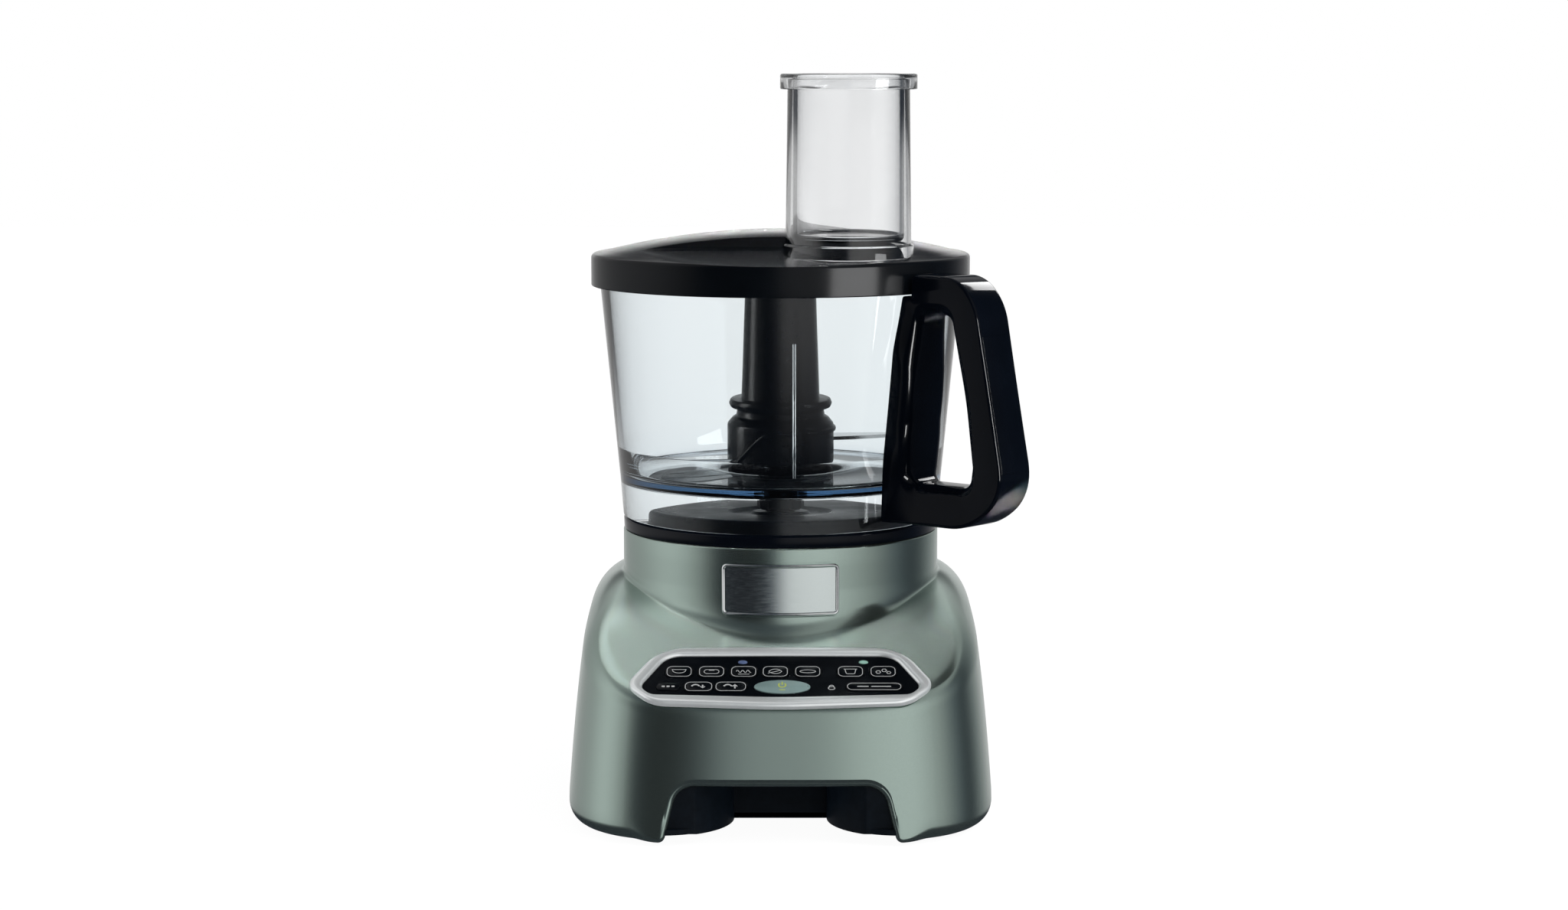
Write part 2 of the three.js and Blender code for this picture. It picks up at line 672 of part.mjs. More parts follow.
function bowl() {
  const { wall } = BOWL;
  return turned([
    [BOWL.footRadius - wall, BOWL.foot],
    [BOWL.footRadius, BOWL.foot],
    [BOWL.floorRadius, BOWL.floorUnder],
    [BOWL.rimRadius, BOWL.rim - 1],
    [BOWL.rimRadius - 1, BOWL.rim],
    [BOWL.rimRadius - wall, BOWL.rim],
    [BOWL.floorRadius - wall, BOWL.floorTop + 8],
    [BOWL.floorRadius - wall - 2.4, BOWL.floorTop + 2.2],
    [BOWL.floorRadius - wall - 8, BOWL.floorTop],
    [BOWL.chimneyOuter, BOWL.floorTop],
    [BOWL.chimneyOuter, BOWL.chimneyTop],
    [BOWL.chimneyInner, BOWL.chimneyTop],
    [BOWL.chimneyInner, 173],
    [BOWL.chimneyOuter, 173],
    [BOWL.chimneyOuter, BOWL.floorUnder],
    [BOWL.floorRadius - wall - 0.4, BOWL.floorUnder],
  ]);
}
add("bowl", bowl(), CLEAR);

// Handle coordinates: the handle is drawn in the plane of radius and height, then raised to its
// width and turned to its azimuth.
function handleSlab(shape, from, to) {
  const upright = new THREE.Matrix4().makeRotationX(Math.PI / 2);
  const toPlace = new THREE.Matrix4().makeRotationZ(HANDLE.azimuth - Math.PI / 2);
  return moved(moved(prism(shape, -to, -from, 5), upright), toPlace);
}

// The bowl's outer radius at a height.
const bowlRadius = (z) => {
  const share = (z - BOWL.floorUnder) / (BOWL.rim - 1 - BOWL.floorUnder);
  return THREE.MathUtils.lerp(BOWL.floorRadius, BOWL.rimRadius, share);
};

const HANDLE_OUTER = [
  [88, 161, 0.01],
  [150, 162, 16],
  [173.5, 181, 16],
  [171.5, 199, 14],
  [154.5, 284, 16],
  [141, 298.5, 12],
  [109, 298.5, 4],
  [109, 286, 1],
  [99, 286, 0.01],
];
const WINDOW = [
  [106.5, 184, 7],
  [149, 184.5, 9],
  [150.5, 199, 8],
  [136, 277, 9],
  [113.8, 277, 6],
];

function handleBody() {
  const outline = roundedOutline(HANDLE_OUTER);
  const window = handleSlab(roundedOutline(WINDOW), -40, 40);
  const grip = handleSlab(outline, -HANDLE.halfWidth, HANDLE.halfWidth);
  const column = handleSlab(
    roundedOutline([
      [86, 161, 0.01],
      [104, 161, 4],
      [113.5, 286, 4],
      [99, 286, 0.01],
    ]),
    -HANDLE.columnHalf,
    HANDLE.columnHalf,
  );
  const outside = turned([
    [0, 150],
    [bowlRadius(150) + GAP + 1.2, 150],
    [BOWL.floorRadius + GAP, BOWL.floorUnder],
    [bowlRadius(LID.bottom - 1) + GAP, LID.bottom - 1],
    [LID.radius + 0.8, LID.bottom - 0.9],
    [LID.radius + 0.8, 330],
    [0, 330],
  ]);
  const coverSpace = coverBand(GAP);
  return cut(join(grip, column), window, outside, coverSpace, rodChannel(2.6));
}

// The glossy strip let into the outer face of the grip.
function coverBand(grow) {
  const half = HANDLE.halfWidth - 3 + grow;
  const band = roundedOutline([
    [157, 190 - grow, 5],
    [176, 190 - grow, 2],
    [158, 284 + grow, 2],
    [140, 284 + grow, 2],
  ]);
  const shell = handleSlab(roundedOutline(HANDLE_OUTER), -half, half);
  const core = handleSlab(roundedOutline(HANDLE_OUTER), -20, 20);
  const inwards = -(HANDLE.cover + grow);
  const step = shift(inwards * Math.sin(HANDLE.azimuth), -inwards * Math.cos(HANDLE.azimuth));
  const kept = cut(shell, moved(core, step));
  return kept.intersect(handleSlab(band, -half, half));
}

// The interlock rod runs down inside the handle's column, parallel to the bowl's wall.
const ROD = { radius: 2, foot: 168, head: 283, inset: 5.2 };
function rodChannel(radius, from = ROD.foot - 14, to = ROD.head + 20) {
  const lean = Math.atan((bowlRadius(ROD.head) - bowlRadius(ROD.foot)) / (ROD.head - ROD.foot));
  const place = new THREE.Matrix4()
    .makeRotationZ(HANDLE.azimuth - Math.PI / 2)
    .multiply(shift(bowlRadius(ROD.foot) + ROD.inset, 0, ROD.foot))
    .multiply(new THREE.Matrix4().makeRotationY(lean));
  return moved(rod(radius, from - ROD.foot, to - ROD.foot, 12), place);
}

add("handle_body", handleBody(), BLACK_GLOSS);
add("handle_cover", coverBand(0), BLACK_GLOSS);
add("interlock_rod", rodChannel(ROD.radius, ROD.foot, ROD.head), STEEL);

// ---------------------------------------------------------------- blade

add("bowl_bush", ring(BOWL.chimneyInner - GAP, SHAFT.radius + GAP, 250, BOWL.chimneyTop - 1), BRONZE);

// The shaft drops over the dog at its foot and carries a splined head for the blade hub.
function driveShaft() {
  const foot = turned([
    [11.6, 164.8],
    [13.4, 164.8],
    [13.4, 172.4],
    [9.6, 172.4],
    [9.6, 186],
    [SHAFT.radius, 190],
    [SHAFT.radius, SHAFT.top],
    [0, SHAFT.top],
    [0, 171.2],
    [11.6, 171.2],
  ], SMALL);
  const splines = Array.from({ length: 6 }, (_, i) => {
    const turn = new THREE.Matrix4().makeRotationZ((i * Math.PI) / 3);
    return moved(box(0, 9.4, -1.2, 1.2, 264, 280), turn);
  });
  return join(foot, ...splines);
}
add("drive_shaft", driveShaft(), BLACK_MATTE);

// The blade hub: a waisted drum at the foot and a long tapered stem over the bowl's chimney.
function bladeHub() {
  const body = turned([
    [12.9, HUB.bottom],
    [HUB.radius - 2, HUB.bottom],
    [HUB.radius, HUB.bottom + 2.5],
    [HUB.radius, 204],
    [HUB.radius - 1.6, 208.4],
    [HUB.neck + 0.6, 211],
    [HUB.neck, 213.2],
    [HUB.radius - 1.6, 215.3],
    [HUB.radius - 0.8, 217.2],
    [HUB.radius - 1.6, 219.4],
    [HUB.stemFoot, 219.6],
    [HUB.stemTop, 283],
    [HUB.stemTop - 0.4, HUB.top - 4],
    [HUB.stemTop - 4, HUB.top],
    [3, HUB.top],
    [3, 308.5],
    [0, 308.5],
    [0, SHAFT.top + 1],
    [9.9, SHAFT.top + 1],
    [9.9, BOWL.chimneyTop + 1],
    [12.9, BOWL.chimneyTop + 1],
  ], MEDIUM);
  return cut(body, ...bladeSolids(GAP));
}

// A blade's outline: a sickle from inside the hub to its tip.
function bladeOutline(grow) {
  const shape = new THREE.Shape();
  shape.moveTo(BLADE.socket - grow, -9 - grow);
  shape.quadraticCurveTo(60, -12 - grow, BLADE.tip, 4);
  shape.quadraticCurveTo(60, 10 + grow, BLADE.socket - grow, 9 + grow);
  shape.closePath();
  return shape;
}

const BLADE_ANGLES = { upper: THREE.MathUtils.degToRad(8), lower: THREE.MathUtils.degToRad(188) };
function bladeSolids(grow) {
  const place = (z, angle) =>
    moved(
      prism(bladeOutline(grow), z - grow, z + BLADE.thickness + grow, 8),
      new THREE.Matrix4().makeRotationZ(angle),
    );
  return [place(BLADE.upperZ, BLADE_ANGLES.upper), place(BLADE.lowerZ, BLADE_ANGLES.lower)];
}

const [upperBlade, lowerBlade] = bladeSolids(0);
add("blade_hub", bladeHub(), BLACK_MATTE);
add("upper_blade", upperBlade, STEEL);
add("lower_blade", lowerBlade, STEEL);

// ---------------------------------------------------------------- lid, feed tube and pusher

const domeHeight = (r, drop) => LID.dome - drop - r ** 2 / (2 * LID.domeRadius);
const atTube = shift(TUBE.x, TUBE.y);

// The lid's cap, drawn in by inset: a straight rim under a shallow dome.
function cap(inset, bottom) {
  const radius = LID.radius - inset;
  const edge = domeHeight(LID.radius - 2, inset);
  const steps = [0.75, 0.5, 0.25, 0].map((share) => share * radius);
  return turned([
    [0, bottom],
    [radius, bottom],
    [radius, LID.edge - inset],
    [radius - 2, edge],
    ...steps.map((r) => [r, domeHeight(r, inset)]),
  ]);
}

// The space over the plane of the front deck, back as far as y = back, raised by lift.
function overDeck(back, lift) {
  const height = (y) => DECK.height + DECK.fall * (y - DECK.back) + lift;
  const side = new THREE.Shape();
  side.moveTo(-140, height(-140));
  side.lineTo(back, height(back));
  side.lineTo(back, 360);
  side.lineTo(-140, 360);
  side.closePath();
  const [x, y, z] = [[0, 1, 0], [0, 0, 1], [1, 0, 0]].map((axis) => new THREE.Vector3(...axis));
  return moved(prism(side, -140, 140), new THREE.Matrix4().makeBasis(x, y, z));
}

// The lid: a shallow dome whose front is cut down to a sloping deck round the feed tube.
function lid() {
  const { wall } = LID;
  const outside = cut(cap(0, LID.bottom), overDeck(DECK.back, 0));
  const inside = cut(cap(wall, LID.bottom - 5), overDeck(DECK.back + wall, -wall));
  const boss = rod(10.5, 299.4, LID.dome - 1.5, MEDIUM);
  const well = moved(rod(TUBE.collar + GAP, 290, 330, ROUND), atTube).intersect(overDeck(0, 0));
  return cut(
    join(cut(outside, inside), boss),
    rod(7.3, 290, 311),
    well,
    moved(rod(TUBE.foot + GAP, 290, 330, ROUND), atTube),
  );
}
add("lid", lid(), BLACK_GLOSS);
add("lid_bush", ring(7, 3.3, 300, 310.6), BRONZE);

// A clear tube through the deck, with a collar that stands on the deck.
function feedTube() {
  const barrel = turned([
    [TUBE.foot - TUBE.wall, TUBE.bottom],
    [TUBE.foot, TUBE.bottom],
    [TUBE.mouth, TUBE.top],
    [TUBE.mouth - TUBE.wall, TUBE.top],
  ], FACETS);
  const collar = ring(TUBE.collar, TUBE.foot - 1, 301, 313.4, FACETS);
  return join(moved(barrel, atTube), moved(collar, atTube).intersect(overDeck(0, GAP)));
}
add("feed_tube", feedTube(), CLEAR);

// The pusher is a measuring cup: a hollow stem in the tube with a lip that hangs over its mouth.
function pusher() {
  const stem = TUBE.mouth - TUBE.wall - 0.5;
  return moved(
    turned([
      [0, PUSHER.floor],
      [stem - 1, PUSHER.floor],
      [stem, PUSHER.floor + 1],
      [stem, TUBE.top + GAP],
      [TUBE.mouth + 0.8, TUBE.top + GAP],
      [TUBE.mouth + 0.8, PUSHER.lipBottom],
      [PUSHER.lip, PUSHER.lipBottom],
      [PUSHER.lip, PUSHER.top],
      [stem - 2.2, PUSHER.top],
      [stem - 2.2, PUSHER.floor + 2.5],
      [0, PUSHER.floor + 2.5],
    ], FACETS),
    atTube,
  );
}
add("pusher", pusher(), CLEAR);

// ---------------------------------------------------------------- origin

// The origin is the centre of the footprint, on the surface that the feet stand on.
processor.updateMatrixWorld(true);
const bounds = new THREE.Box3().setFromObject(processor, true);
const middle = bounds.getCenter(new THREE.Vector3());
processor.position.set(-middle.x, -middle.y, -bounds.min.z);

export default processor;
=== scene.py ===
"""The looks of a counter-top food processor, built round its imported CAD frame.

Lengths are millimetres from the drive axis and the worktop, with -Y to the front; to_world() turns
them into metres in the row frame."""

import math

import bmesh
import bpy
import numpy as np
from mathutils import Matrix, Vector
from mathutils.geometry import tessellate_polygon


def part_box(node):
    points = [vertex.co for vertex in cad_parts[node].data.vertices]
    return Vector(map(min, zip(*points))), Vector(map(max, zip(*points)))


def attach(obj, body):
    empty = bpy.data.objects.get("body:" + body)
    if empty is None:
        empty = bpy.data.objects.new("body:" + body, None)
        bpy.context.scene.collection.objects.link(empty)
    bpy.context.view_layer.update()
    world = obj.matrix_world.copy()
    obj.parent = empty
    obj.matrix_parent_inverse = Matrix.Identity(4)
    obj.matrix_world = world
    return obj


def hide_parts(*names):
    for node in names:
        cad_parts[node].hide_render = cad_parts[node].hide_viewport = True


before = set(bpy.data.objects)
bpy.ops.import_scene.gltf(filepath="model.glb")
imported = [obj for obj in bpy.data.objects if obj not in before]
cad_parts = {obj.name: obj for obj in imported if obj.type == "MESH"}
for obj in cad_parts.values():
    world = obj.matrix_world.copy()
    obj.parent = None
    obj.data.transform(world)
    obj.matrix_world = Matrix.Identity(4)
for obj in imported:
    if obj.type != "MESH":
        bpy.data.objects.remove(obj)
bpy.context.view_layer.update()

# ---------- driving dimensions

shaft_low, shaft_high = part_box("spindle")
AXIS = np.array([(shaft_low.x + shaft_high.x) / 2, (shaft_low.y + shaft_high.y) / 2, 0.0])

BASE = dict(half_width=118.5, half_depth=136, centre_y=-28, side_draft=0.107, front_draft=0.13)
BASE.update(bottom=2, round=8, swell=1.3, shoulder=124, top_arc=233)
BASE.update(slope_start=-102, slope=math.radians(26))
COLLAR = dict(radius=90, top=148.7, bell_start=126, bell_gain=0.0178)
ARCH = dict(foot=62, corner=54.5, top=32.3, round=12, toe=4, edge=2.6, reach=84, calm=72)
HOLLOW = dict(back=-120, neck=25, wide=62.5, rim=-156.4)
SWELL_HEIGHT = 122
PANEL_Y = -132
BOWL = dict(foot=156.3, foot_radius=90, under=176.8, floor=180.3, floor_radius=91.6)
BOWL.update(rim=299, rim_radius=103.4, wall=2.6, chimney=12.4, bore=10.4, chimney_top=262)
HANDLE_AZIMUTH = math.radians(47)
GRIP_HALF, COLUMN_HALF = 13.2, 17
LID = dict(radius=107.5, bottom=287.4, dome=318.5, dome_radius=412)
DECK = dict(back=-40, height=309.3, fall=0.076)
TUBE = dict(foot=34.8, mouth=33.5, wall=2.3, bottom=300.4, top=404)
AT_TUBE = (37.4, -55)
ROUND = 144


# ---------- mesh helpers


def to_world(points):
    """Row-frame metres of points in millimetres."""
    return np.asarray(points, float).reshape(-1, 3) / 1000 + AXIS


def linked(name, data):
    """An object of its own in the scene."""
    thing = bpy.data.objects.new(name, data)
    bpy.context.scene.collection.objects.link(thing)
    return thing


def solid(name, points, faces, sharp, materials=(), parts=None):
    """A clean mesh object. parts gives each face its material's number."""
    mesh = bpy.data.meshes.new(name)
    mesh.from_pydata(to_world(points).tolist(), [], [tuple(f) for f in faces])
    for each in materials:
        mesh.materials.append(each)
    if parts is not None:
        mesh.polygons.foreach_set("material_index", parts)
    clean(mesh, sharp)
    return linked(name, mesh)


def make(name, points, faces, material, body, replaces=(), slot=None, sharp=35, parts=None):
    """A piece that rides on a body."""
    materials = material if isinstance(material, list) else [material]
    thing = solid(name, points, faces, sharp, materials, parts)
    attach(thing, body)
    if replaces:
        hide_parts(*replaces)
    return thing


def clean(mesh, sharp):
    """Merges doubled points, turns the faces outwards and marks the sharp edges."""
    work = bmesh.new()
    work.from_mesh(mesh)
    bmesh.ops.remove_doubles(work, verts=work.verts, dist=2e-6)
    bmesh.ops.dissolve_degenerate(work, edges=work.edges, dist=1e-7)
    bmesh.ops.recalc_face_normals(work, faces=work.faces)
    work.to_mesh(mesh)
    work.free()
    mesh.polygons.foreach_set("use_smooth", [True] * len(mesh.polygons))
    mesh.set_sharp_from_angle(angle=math.radians(sharp))


def skin(rings, loop=False, cap=False):
    """Quads through rings of equal length; loop joins the last ring to the first, cap closes both ends."""
    rings = np.asarray(rings, float)
    count, size = rings.shape[:2]
    faces = []
    for k in range(count if loop else count - 1):
        a, b = k * size, (k + 1) % count * size
        faces += [(a + i, a + (i + 1) % size, b + (i + 1) % size, b + i) for i in range(size)]
    if cap:
        faces += [tuple(range(size))[::-1], tuple(range((count - 1) * size, count * size))]
    return rings.reshape(-1, 3), faces


def together(*parts):
    """Several (points, faces) as one."""
    points, faces, start = [], [], 0
    for some, quads in parts:
        points.append(np.asarray(some, float).reshape(-1, 3))
        faces += [tuple(i + start for i in face) for face in quads]
        start += len(points[-1])
    return np.concatenate(points), faces


def corners(points, steps=8):
    """An outline through [x, y, radius] corners, each turned by a circular arc; open ends have radius 0."""
    made = []
    for i, (x, y, *rest) in enumerate(points):
        radius = rest[0] if rest else 0
        at = np.array([x, y], float)
        if radius <= 0:
            made.append(at)
            continue
        before = np.array(points[i - 1][:2], float) - at
        after = np.array(points[(i + 1) % len(points)][:2], float) - at
        before /= np.linalg.norm(before)
        after /= np.linalg.norm(after)
        half = math.acos(np.clip(before @ after, -1, 1)) / 2
        if half > math.radians(88.5):
            made.append(at)
            continue
        middle = at + (before + after) / np.linalg.norm(before + after) * radius / math.sin(half)
        start = at + before * radius / math.tan(half) - middle
        end = at + after * radius / math.tan(half) - middle
        a0 = math.atan2(start[1], start[0])
        turn = (math.atan2(end[1], end[0]) - a0 + math.pi) % (2 * math.pi) - math.pi
        for k in range(steps + 1):
            a = a0 + turn * k / steps
            made.append(middle + radius * np.array([math.cos(a), math.sin(a)]))
    return np.array(made)


def spin(profile, segments=ROUND, centre=(0, 0)):
    """A profile of [radius, z] turned about the vertical through centre.

    It is a closed outline, or one that starts or ends on the axis."""
    profile = np.asarray(profile, float)
    rings = []
    for i in range(segments):
        a = 2 * math.pi * i / segments
        r = profile[:, 0]
        rings.append(np.stack([centre[0] + r * math.cos(a), centre[1] + r * math.sin(a), profile[:, 1]], 1))
    points, faces = skin(rings, loop=True)
    if min(profile[0][0], profile[-1][0]) <= 0:
        size = len(profile)
        faces = [f for f in faces if not {f[0] % size, f[1] % size} == {0, size - 1}]
    return points, faces


def turned(points, steps=6, segments=ROUND, centre=(0, 0)):
    """A profile of [radius, z, rounding] corners turned about the vertical."""
    return spin(corners(points, steps), segments, centre)


def inset(loop, by):
    """A flat outline moved in by a distance, to the left of its direction."""
    loop = np.asarray(loop, float)
    ahead = np.roll(loop, -1, 0) - loop
    ahead /= np.maximum(np.linalg.norm(ahead, axis=1), 1e-9)[:, None]
    left = np.stack([-ahead[:, 1], ahead[:, 0]], 1)
    both = left + np.roll(left, 1, 0)
    both /= np.maximum((both * left).sum(1), 0.3)[:, None]
    return loop + both * by


def area(loop):
    """A flat outline's area, positive when it runs anticlockwise."""
    x, y = np.asarray(loop).T
    return ((x * np.roll(y, -1)) - (np.roll(x, -1) * y)).sum() / 2


def slab(outline, levels, holes=()):
    """A flat plate: levels are (inset, height) from its bottom to its top, and holes are cut through it."""
    loops = [np.asarray(outline)[:: 1 if area(outline) > 0 else -1]]
    loops += [np.asarray(h)[:: -1 if area(h) > 0 else 1] for h in holes]
    points, faces = [], []
    starts = []
    for loop in loops:
        rings = [np.c_[inset(loop, by), np.full(len(loop), z)] for by, z in levels]
        some, quads = skin(rings)
        start = sum(len(p) for p in points)
        starts.append((start, len(loop)))
        points.append(some)
        faces += [tuple(i + start for i in q) for q in quads]
    for level in (0, len(levels) - 1):
        flat = []
        ids = []
        for (start, size), some in zip(starts, points):
            row = some[level * size : (level + 1) * size]
            flat.append([Vector((p[0], p[1], 0)) for p in row])
            ids += [start + level * size + i for i in range(size)]
        faces += [tuple(ids[i] for i in t) for t in tessellate_polygon(flat)]
    return np.concatenate(points), faces


def placed(part, matrix):
    """A part moved and turned by a matrix."""
    points, faces = part
    m = np.array(matrix)
    return points @ m[:3, :3].T + m[:3, 3], faces


def pill(u, v, width, height):
    """A rectangle's outline with half-round ends."""
    r = height / 2
    half = width / 2 - r
    swing = np.linspace(-math.pi / 2, math.pi / 2, 10)
    cap = np.stack([half + r * np.cos(swing), r * np.sin(swing)], 1)
    return np.concatenate([cap, -cap]) + (u, v)


def full_turn(steps):
    """Even angles once round, without a repeat of the first."""
    return np.linspace(0, 2 * math.pi, steps, endpoint=False)


def oval(u, v, width, height, steps=40):
    turn = full_turn(steps)
    return np.stack([u + width / 2 * np.cos(turn), v + height / 2 * np.sin(turn)], 1)


def ribbon(line, width, z0, z1, closed=False):
    """A thin flat stroke along a line of [u, v] points."""
    line = np.asarray(line, float)
    if closed:
        line = line[:: 1 if area(line) > 0 else -1]
        return slab(inset(line, -width / 2), [(0, z0), (0, z1)], [inset(line, width / 2)])
    ahead = np.gradient(line, axis=0)
    ahead /= np.linalg.norm(ahead, axis=1)[:, None]
    left = np.stack([-ahead[:, 1], ahead[:, 0]], 1) * width / 2
    return slab(np.concatenate([line + left, (line - left)[::-1]]), [(0, z0), (0, z1)])


def apply(thing):
    """Puts a piece's modifiers into its mesh."""
    bpy.context.view_layer.update()
    graph = bpy.context.evaluated_depsgraph_get()
    mesh = bpy.data.meshes.new_from_object(thing.evaluated_get(graph))
    thing.modifiers.clear()
    thing.data = mesh


def carve(thing, parts, sharp=35):
    """Cuts each of the parts out of a piece."""
    for part in parts:
        tool = solid("cutter", *part, 30)
        change = thing.modifiers.new("cut", "BOOLEAN")
        change.operation = "DIFFERENCE"
        change.solver = "EXACT"
        change.object = tool
        apply(thing)
        bpy.data.objects.remove(tool)
    clean(thing.data, sharp)
    return thing


# ---------- materials


def feed(tree, socket, value):
    """Links a socket to another one, or sets its value."""
    if isinstance(value, bpy.types.NodeSocket):
        tree.links.new(value, socket)
    else:
        socket.default_value = value


def add_node(tree, kind, inputs=None, **settings):
    """A node with its settings and inputs."""
    made = tree.nodes.new(kind)
    for key, value in settings.items():
        setattr(made, key, value)
    for key, value in (inputs or {}).items():
        feed(tree, made.inputs[key], value)
    return made


def calc(tree, kind, a, b):
    """A math node's result for two values or sockets."""
    return add_node(tree, "ShaderNodeMath", {0: a, 1: b}, operation=kind).outputs[0]


def blend(tree, share, a, b):
    """A colour from a to b by share."""
    return add_node(tree, "ShaderNodeMix", {0: share, 6: a, 7: b}, data_type="RGBA").outputs[2]


def mix_shaders(tree, share, a, b):
    """A shader node that goes from a to b by share."""
    return add_node(tree, "ShaderNodeMixShader", {0: share, 1: a.outputs[0], 2: b.outputs[0]})


def seen_directly(tree):
    """A socket that is 1 before any diffuse or glossy bounce, and the count of glossy bounces."""
    path = add_node(tree, "ShaderNodeLightPath")
    glossy = path.outputs["Glossy Depth"]
    return calc(tree, "LESS_THAN", calc(tree, "ADD", path.outputs["Diffuse Depth"], glossy), 0.5), glossy


class Paint:
    """A node material with one Principled shader; the methods add procedural detail to it."""

    def __init__(self, name, color, rough, metal=0.0, **sockets):
        self.material = bpy.data.materials.new(name)
        self.material.use_nodes = True
        self.tree = self.material.node_tree
        self.shader = self.tree.nodes["Principled BSDF"]
        self.color, self.rough = color, rough
        self.set("Base Color", (*color, 1))
        self.set("Roughness", rough)
        self.set("Metallic", metal)
        for socket, value in sockets.items():
            self.set(socket.replace("_", " "), value)
        self.place = self.node("ShaderNodeTexCoord").outputs["Object"]

    def set(self, socket, value):
        feed(self.tree, self.shader.inputs[socket], value)

    def output(self, node, socket="Surface"):
        feed(self.tree, self.tree.nodes["Material Output"].inputs[socket], node.outputs[0])

    def node(self, kind, inputs=None, **settings):
        return add_node(self.tree, kind, inputs, **settings)

    def noise(self, scale, detail=3.0, stretch=None):
        at = self.place
        if stretch:
            at = self.node("ShaderNodeMapping", {"Vector": at, "Scale": stretch}).outputs["Vector"]
        made = self.node("ShaderNodeTexNoise", {"Vector": at, "Scale": scale, "Detail": detail})
        return made.outputs["Fac"]

    def between(self, value, low, high):
        """A number from low to high over the middle of a noise's range."""
        inputs = {"Value": value, "From Min": 0.3, "From Max": 0.7, "To Min": low, "To Max": high}
        return self.node("ShaderNodeMapRange", inputs).outputs["Result"]

    def shade(self, value, spread):
        """The colour made darker and lighter by a share."""
        dark = (*[c * (1 - spread) for c in self.color], 1)
        light = (*[min(1, c * (1 + spread)) for c in self.color], 1)
        self.set("Base Color", blend(self.tree, self.between(value, 0, 1), dark, light))
        return self

    def matt(self, value, low, high):
        self.set("Roughness", self.between(value, low, high))
        return self

    def bump(self, height, strength, depth):
        made = self.node("ShaderNodeBump", {"Height": height, "Strength": strength, "Distance": depth})
        self.set("Normal", made.outputs["Normal"])
        return self


def pewter():
    made = Paint("pewter_paint", (0.346, 0.43, 0.39), 0.21, 0.97)
    made.shade(made.noise(2600, 1), 0.05)
    made.matt(made.noise(9, 3), 0.2, 0.225)
    return made.bump(made.noise(1300, 2), 0.04, 0.00006).material


def gloss_black(name="black_gloss", color=(0.0022, 0.003, 0.0042), rough=0.08, level=0.13):
    made = Paint(name, color, rough, 0, Specular_IOR_Level=level)
    made.shade(made.noise(60, 2), 0.15)
    made.matt(made.noise(14, 4), rough * 0.8, rough * 1.35)
    return made.bump(made.noise(420, 2), 0.03, 0.0001).material


def satin_black(name="black_matte", color=(0.0022, 0.003, 0.0045), rough=0.3, level=0.07):
    made = Paint(name, color, rough, 0, Specular_IOR_Level=level)
    made.shade(made.noise(240, 2), 0.2)
    made.matt(made.noise(40, 3), rough * 0.85, rough * 1.2)
    return made.bump(made.noise(2600, 2), 0.12, 0.00006).material


def metal(name, color, rough, grain=(1, 1, 1), scale=900, spread=0.06, bump=0.05):
    made = Paint(name, color, rough, 1.0)
    lines = made.noise(scale, 3, grain)
    made.shade(lines, spread)
    made.matt(lines, rough * 0.8, rough * 1.3)
    return made.bump(lines, bump, 0.00004).material


def plain(name, color, rough, spread=0.12, scale=300, bump=0.1, metallic=0.0):
    made = Paint(name, color, rough, metallic)
    made.shade(made.noise(scale, 3), spread)
    made.matt(made.noise(scale / 3, 2), rough * 0.9, min(1, rough * 1.15))
    return made.bump(made.noise(scale * 4, 2), bump, 0.00008).material


def clear_plastic(name, tint, depth, level, haze):
    """Clear moulded plastic that refracts, casts no dark shadow and has faint flow marks."""
    rough = 0.012
    made = Paint(name, tint, rough, 0, IOR=1.47, Specular_IOR_Level=level)
    made.set("Transmission Weight", 1.0)
    made.shade(made.noise(7, 2), haze * 0.4)
    made.matt(made.noise(11, 3), rough * 0.6, rough * 1.6)
    made.bump(made.noise(40, 1.5, (1, 1, 0.02)), 0.02, 0.0003)
    shadow = made.node("ShaderNodeLightPath").outputs["Is Shadow Ray"]
    thin = made.node("ShaderNodeBsdfTransparent", {"Color": (*[c**0.5 for c in tint], 1)})
    made.output(mix_shaders(made.tree, shadow, made.shader, thin))
    inside = {"Color": (0.25, 0.5, 0.7, 1), "Density": depth}
    made.output(made.node("ShaderNodeVolumeAbsorption", inside), "Volume")
    return made.material


